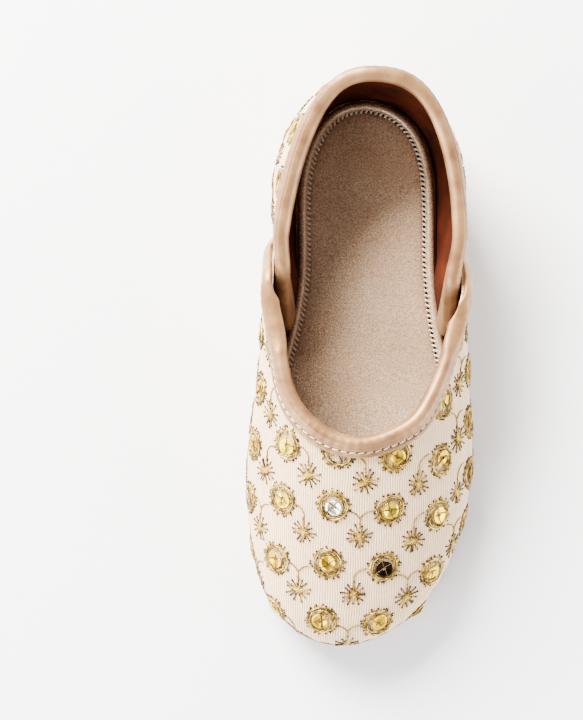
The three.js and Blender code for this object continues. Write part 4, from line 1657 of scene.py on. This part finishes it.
def raised_from(tree, landed, facing, height):
    """The landed point moved out from the cloth by a height."""
    raised_by = add(tree, "ShaderNodeVectorMath", {0: facing, "Scale": height}, operation="SCALE")
    return add(tree, "ShaderNodeVectorMath", {0: landed, 1: raised_by}, operation="ADD")


# %% [markdown]
# This tree lays a motif on each seed, still flat, gives every line a round section, and drapes the whole
# only then, so that a thread keeps its thickness on a steep wall. With Whole on, a motif whose middle is
# hidden is left out altogether, because a star's loose spikes beside a strip would look torn.

# %% Threads on a sheet
threads, given, end = new_tree(
    "Threads draped on a sheet",
    Sheet="Object", Motifs="Collection", Radius="Float", Whole="Bool", Finish="Material",
)
sheet = out(add(threads, "GeometryNodeObjectInfo", {"Object": given["Sheet"]}), "Geometry")
centre_hidden = drape_fields(threads, sheet)[3]
left_out = add(threads, "FunctionNodeBooleanMath", {0: centre_hidden, 1: given["Whole"]}, operation="AND")
centres = add(
    threads, "GeometryNodeDeleteGeometry", {"Geometry": given["Geometry"], "Selection": left_out}, domain="POINT"
)
choices = add(
    threads, "GeometryNodeCollectionInfo",
    {"Collection": given["Motifs"], "Separate Children": True, "Reset Children": True},
)
angle = add(threads, ATTRIBUTE, {"Name": "turn"})
turn = add(threads, "FunctionNodeAxisAngleToRotation", {"Axis": (0, 0, 1), "Angle": angle})
variant = add(threads, ATTRIBUTE, {"Name": "kind"}, data_type="INT")
laid_out = add(
    threads, "GeometryNodeInstanceOnPoints",
    {"Points": centres, "Instance": choices, "Pick Instance": True, "Instance Index": variant, "Rotation": turn},
)
lines = add(threads, "GeometryNodeRealizeInstances", {"Geometry": laid_out})
curves = add(threads, "GeometryNodeMeshToCurve", {"Mesh": lines})
round_section = add(threads, "GeometryNodeCurvePrimitiveCircle", {"Resolution": 4, "Radius": given["Radius"]})
girth = add(threads, ATTRIBUTE, {"Name": "girth"})
tubes = add(
    threads, "GeometryNodeCurveToMesh",
    {"Curve": curves, "Profile Curve": round_section, "Scale": girth, "Fill Caps": True},
)
flat_place, landed, facing, hidden = drape_fields(threads, sheet)
kept = add(threads, "GeometryNodeDeleteGeometry", {"Geometry": tubes, "Selection": hidden}, domain="POINT")
height = out(add(threads, "ShaderNodeSeparateXYZ", {0: flat_place}), "Z")
final = raised_from(threads, landed, facing, height)
draped = add(threads, "GeometryNodeSetPosition", {"Geometry": kept, "Position": final})
close_tree(threads, draped, given, end)

# %% [markdown]
# A sequin is stiff and stays flat, so this tree drapes its seed only. The sequin stands square to the cloth
# there, apart from a little tip and tilt, as each one is held by its own threads.

# %% Sequins on a sheet
sequins, given, end = new_tree(
    "Sequins on draped points", Sheet="Object", Shape="Object", Lift="Float", Finish="Material"
)
sheet = out(add(sequins, "GeometryNodeObjectInfo", {"Object": given["Sheet"]}), "Geometry")
flat_place, landed, facing, hidden = drape_fields(sequins, sheet)
kept = add(
    sequins, "GeometryNodeDeleteGeometry", {"Geometry": given["Geometry"], "Selection": hidden}, domain="POINT"
)
marked = add(
    sequins, "GeometryNodeStoreNamedAttribute", {"Geometry": kept, "Name": "facing", "Value": facing},
    data_type="FLOAT_VECTOR",
)
final = raised_from(sequins, landed, facing, given["Lift"])
draped = add(sequins, "GeometryNodeSetPosition", {"Geometry": marked, "Position": final})
away = add(sequins, ATTRIBUTE, {"Name": "facing"}, data_type="FLOAT_VECTOR")
aimed = add(sequins, "FunctionNodeAlignRotationToVector", {"Vector": away}, axis="Z")
tip, tilt, turn = (add(sequins, ATTRIBUTE, {"Name": name}) for name in ("tip", "tilt", "turn"))
angles = add(sequins, "ShaderNodeCombineXYZ", {"X": tip, "Y": tilt, "Z": turn})
spin = add(sequins, "FunctionNodeEulerToRotation", {"Euler": angles})
turned = add(
    sequins, "FunctionNodeRotateRotation", {"Rotation": aimed, "Rotate By": spin}, rotation_space="LOCAL"
)
shape = out(add(sequins, "GeometryNodeObjectInfo", {"Object": given["Shape"]}), "Geometry")
placed = add(
    sequins, "GeometryNodeInstanceOnPoints", {"Points": draped, "Instance": shape, "Rotation": turned}
)
close_tree(sequins, placed, given, end)

# %% [markdown]
# Zari is metal-wrapped thread of old gold. Its glitter and its nearly black gaps and knots are painted:
# each point's value of painted shade and glint, which also wavers at random, and a fine noise of painted
# glint share one ramp from dark brown to pale gold.

# %% Gold thread
zari, tree, principled = surface_material("Metal-wrapped thread, antique gold", 0.36, 0.6)
# Painted shade and glint: the thread's value and a fine noise pick its colour, from near black to pale gold.
tone_of = out(add(tree, "ShaderNodeAttribute", attribute_name="tone"), "Fac")
painted_wrap_glints = add(tree, "ShaderNodeTexNoise", {"Vector": millimetres(tree), "Scale": 1.9, "Detail": 2.0})
spread = add(tree, "ShaderNodeMix", {"Factor": 0.22, "A": tone_of, "B": painted_wrap_glints}, data_type="RGBA")
gold = with_stops(
    add(tree, "ShaderNodeValToRGB", {"Fac": spread}),
    (0.06, "#140B02"), (0.3, "#563C08"), (0.55, "#A88424"), (0.85, "#F0D480"),
)
connect(tree, principled, {"Base Color": gold})

# %% [markdown]
# A sequin is polyester film with a coat of metal, stamped to a shallow faceted cup. Its colour carries a
# painted reflection: each sequin's own number picks a lighter or a darker lemon gold, and at two places a
# painted white glint and a painted dark reflection. The film's colour is a little darker in small patches.

# %% Sequin film
film, tree, principled = surface_material("Metallised polyester sequin, lemon gold", 0.24, 0.9)
shine_of = out(add(tree, "ShaderNodeAttribute", attribute_name="shine"), "Fac")
# Painted reflection: by its number, each sequin takes one of two golds, a white glint, or a near-black
# reflection.
gold_with_painted_reflections = with_stops(
    add(tree, "ShaderNodeValToRGB", {"Fac": shine_of}),
    (0.0, "#1C0F03"), (0.08, "#F0CE18"), (0.5, "#DEB406"), (0.94, "#F2EEDC"),
)
gold_with_painted_reflections.color_ramp.interpolation = "CONSTANT"
dull = add(tree, "ShaderNodeTexNoise", {"Vector": millimetres(tree), "Scale": 0.8, "Detail": 2.0})
gleam = with_stops(add(tree, "ShaderNodeValToRGB", {"Fac": dull}), (0.35, "#C8C0A8"), (0.65, "#FFFFFF"))
film_tint = add(
    tree, "ShaderNodeMix", {"Factor": 0.5, "A": gold_with_painted_reflections, "B": gleam}, data_type="RGBA", blend_type="MULTIPLY"
)
connect(tree, principled, {"Base Color": film_tint})

# %% [markdown]
# The sequin's form is a closed profile turned round its middle, with a hole for the needle and six soft
# folds from the stamp. Forty or so of them are on the shoe, so it has only a few hundred faces.

# %% A sequin
SEQUIN_SIDES = 24
SEQUIN_PROFILE = (
    # radius, height: over the cup's face and back under it
    (0.42, 0.0), (0.9, 0.02), (1.65, 0.14), (2.35, 0.4), (2.38, 0.34), (1.65, 0.07), (0.9, -0.05),
    (0.42, -0.06),
)
sequin_points = []
for radius, height in SEQUIN_PROFILE:
    for k in range(SEQUIN_SIDES):
        turn = 2 * math.pi * k / SEQUIN_SIDES
        fold = 0.025 * radius * math.cos(6 * turn) * (radius > 1)
        sequin_points.append((radius * math.cos(turn) * MM, radius * math.sin(turn) * MM, (height + fold) * MM))
ids = np.arange(len(sequin_points)).reshape(len(SEQUIN_PROFILE), SEQUIN_SIDES)
after, below = np.roll(ids, -1, axis=1), np.roll(ids, -1, axis=0)
sequin_faces = np.stack([ids, after, np.roll(below, -1, axis=1), below], axis=-1).reshape(-1, 4)
mesh = bpy.data.meshes.new("sequin")
mesh.from_pydata(sequin_points, [], sequin_faces.tolist())
turn_outwards(mesh)
sequin = link("sequin", mesh)
print("sequin", len(mesh.polygons), "faces")

# %% [markdown]
# Now both sheets get their suns, stars, stems and sequins. The suns lie on the lattice, the stars and stems
# half a step between, and each sequin a little off its sun's middle. On the vamp, the sequin with a painted
# white glint and the one with a painted dark reflection have their own places. On the quarter the repeat
# hangs the other way up, as the cloth is cut.

# %% Embroidery on both sheets
THREAD_RADIUS = 0.17 * MM
SEQUIN_LIFT = 0.2 * MM
PAINTED_REFLECTION_SEQUINS = {(0, 0): 0.97, (1, 1): 0.02}
for sheet_name, sheet_piece, place, columns, rows, upside in (
    ("vamp", vamp, vamp_lattice, range(-4, 6), range(-5, 4), 0.0),
    ("quarter", quarter, quarter_lattice, range(-7, 7), range(-2, 3), math.pi),
):
    centres = lattice(place, columns, rows, 0)
    between = lattice(place, columns, rows, 0.5)
    for kind, places, turns in (("suns", centres, None), ("stars", between, None), ("stems", between, upside)):
        piece = grown(
            f"{sheet_name}_{kind}", motif_seeds(f"{kind} seeds", places, len(shelves[kind].objects), turns),
            threads, Sheet=sheet_piece, Motifs=shelves[kind], Radius=THREAD_RADIUS, Whole=kind != "suns",
            Finish=zari,
        )
        dress(piece, "fabric")
    spots = [(x + jitter(0.55), y + jitter(0.55), 0) for x, y in centres]
    shine = np.array([chance.uniform(0.09, 0.93) for _ in spots])
    # Painted reflection: one vamp sequin gets a white glint and one a dark reflection.
    for (i, j), value in PAINTED_REFLECTION_SEQUINS.items():
        if sheet_name == "vamp":
            shine[columns.index(i) * len(rows) + rows.index(j)] = value
    base = seeds(
        "sequin seeds", spots, shift=False,
        tip=np.array([jitter(0.12) for _ in spots]), tilt=np.array([jitter(0.12) for _ in spots]),
        turn=np.array([jitter(3) for _ in spots]), shine=shine,
    )
    piece = grown(
        f"{sheet_name}_sequins", base, sequins,
        Sheet=sheet_piece, Shape=sequin, Lift=SEQUIN_LIFT, Finish=film,
    )
    dress(piece, "fabric")

# %% [markdown]
# The small shapes and the charted motifs have done their work. They go, so that nothing is left in the
# scene but the shoe.

# %% Clearing the bench
for helper in (stitch, rib, tooth, sequin):
    bpy.data.objects.remove(helper)
for shelf in shelves.values():
    for helper in list(shelf.objects):
        bpy.data.objects.remove(helper)
    bpy.data.collections.remove(shelf)

# %% [markdown]
# The photograph looks almost straight down. The camera stands 53 cm from its aim with a long lens, turned
# so that the shoe leans a little in the picture. Sizes are in the shoe's own millimetres, and the lens is
# worked out from a picture 583 pixels wide.

# %% Camera
PICTURE_WIDTH = 583
FOCAL_PIXELS = 2000
SENSOR = 36
DISTANCE = 533.91
azimuth, elevation, roll = (math.radians(value) for value in (-25.08, 88.04, 26.02))
back = Vector((
    math.sin(azimuth) * math.cos(elevation), -math.cos(azimuth) * math.cos(elevation), math.sin(elevation)
))
up = Vector((
    -math.sin(azimuth) * math.sin(elevation), math.cos(azimuth) * math.sin(elevation), math.cos(elevation)
))
right = up.cross(back)
turned_right = right * math.cos(roll) + up * math.sin(roll)
turned_up = up * math.cos(roll) - right * math.sin(roll)
target = (Vector((-20.34, -0.49, 44.38)) + Vector(SHIFT)) * MM
camera = bpy.data.objects.new("camera", bpy.data.cameras.new("camera"))
bpy.context.scene.collection.objects.link(camera)
place = Matrix((turned_right, turned_up, back)).transposed().to_4x4()
place.translation = target + back * DISTANCE * MM
camera.matrix_world = place
camera.data.sensor_fit = "HORIZONTAL"
camera.data.sensor_width = SENSOR
camera.data.lens = FOCAL_PIXELS / PICTURE_WIDTH * SENSOR
bpy.context.scene.camera = camera
print("lens", round(camera.data.lens, 1), "mm, height", round(place.translation.z, 3), "m")

# %% [markdown]
# The shoe stands on plain white paper, marked as a stage, so it is no part of the shoe. Its tint has a slow
# drift, as paper that was rolled has.

# %% Floor
floor = link("floor", bpy.data.meshes.new("floor"))
floor.data.from_pydata([(-3, -3, 0), (3, -3, 0), (3, 3, 0), (-3, 3, 0)], [], [(0, 1, 2, 3)])
paper, tree, principled = surface_material("Backdrop paper, white", 0.7)
fibres = add(tree, "ShaderNodeTexNoise", {"Vector": millimetres(tree), "Scale": 0.02, "Detail": 2.0})
tint = with_stops(add(tree, "ShaderNodeValToRGB", {"Fac": fibres}), (0.3, "#F8F8FA"), (0.7, "#FBFBFC"))
connect(tree, principled, {"Base Color": tint})
floor.data.materials.append(paper)
floor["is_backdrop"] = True

# %% [markdown]
# Light in the photograph is a large soft window from the upper left, with a bright room all round, so
# shadows are pale and fall to the lower right. A fill opens the toe's side, and a weak low lamp stands for
# the light that a white wall throws back. The room is brightest near the horizon and dim overhead, which
# keeps the inside of the shoe dark, as the photograph has it.

# %% Light


def lamp(name, position, size, power, tint):
    """A square lamp that faces the shoe."""
    made = bpy.data.objects.new(name, bpy.data.lights.new(name, "AREA"))
    bpy.context.scene.collection.objects.link(made)
    made.location = position
    made.rotation_euler = (-Vector(position)).to_track_quat("-Z", "Y").to_euler()
    made.data.size = size
    made.data.energy = power
    made.data.color = colour(tint)[:3]
    print("lamp", name, power, "W")


lamp("window", (-0.5, 0.7, 0.62), 0.6, 116, "#FFFBF5")
lamp("fill", (-0.8, -0.65, 0.5), 0.8, 28, "#FFFDFA")
lamp("bounce", (0.95, -0.3, 0.28), 0.6, 13, "#FFFCF8")
world = bpy.data.worlds.new("room")
world.use_nodes = True
room = world.node_tree
directions = add(room, "ShaderNodeTexCoord")
overhead = out(add(room, "ShaderNodeSeparateXYZ", {"Vector": out(directions, "Generated")}), "Z")
glow = add(
    room, "ShaderNodeMapRange",
    {"Value": overhead, "From Min": 0.1, "From Max": 0.9, "To Min": 3.8, "To Max": 0.1},
)
connect(room, room.nodes["Background"], {"Color": colour("#FAFBFF"), "Strength": glow})
bpy.context.scene.world = world

# %% [markdown]
# The dressed shoe has to keep the imported model's size, so both boxes are set side by side, and the
# dressed one's is printed.

# %% Sizes against the frame, and the end
low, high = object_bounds()
{"cad": [list(cad_low), list(cad_high)], "visual": [list(low), list(high)]}
print("visual", [round(value / MM, 1) for value in (*low, *high)])
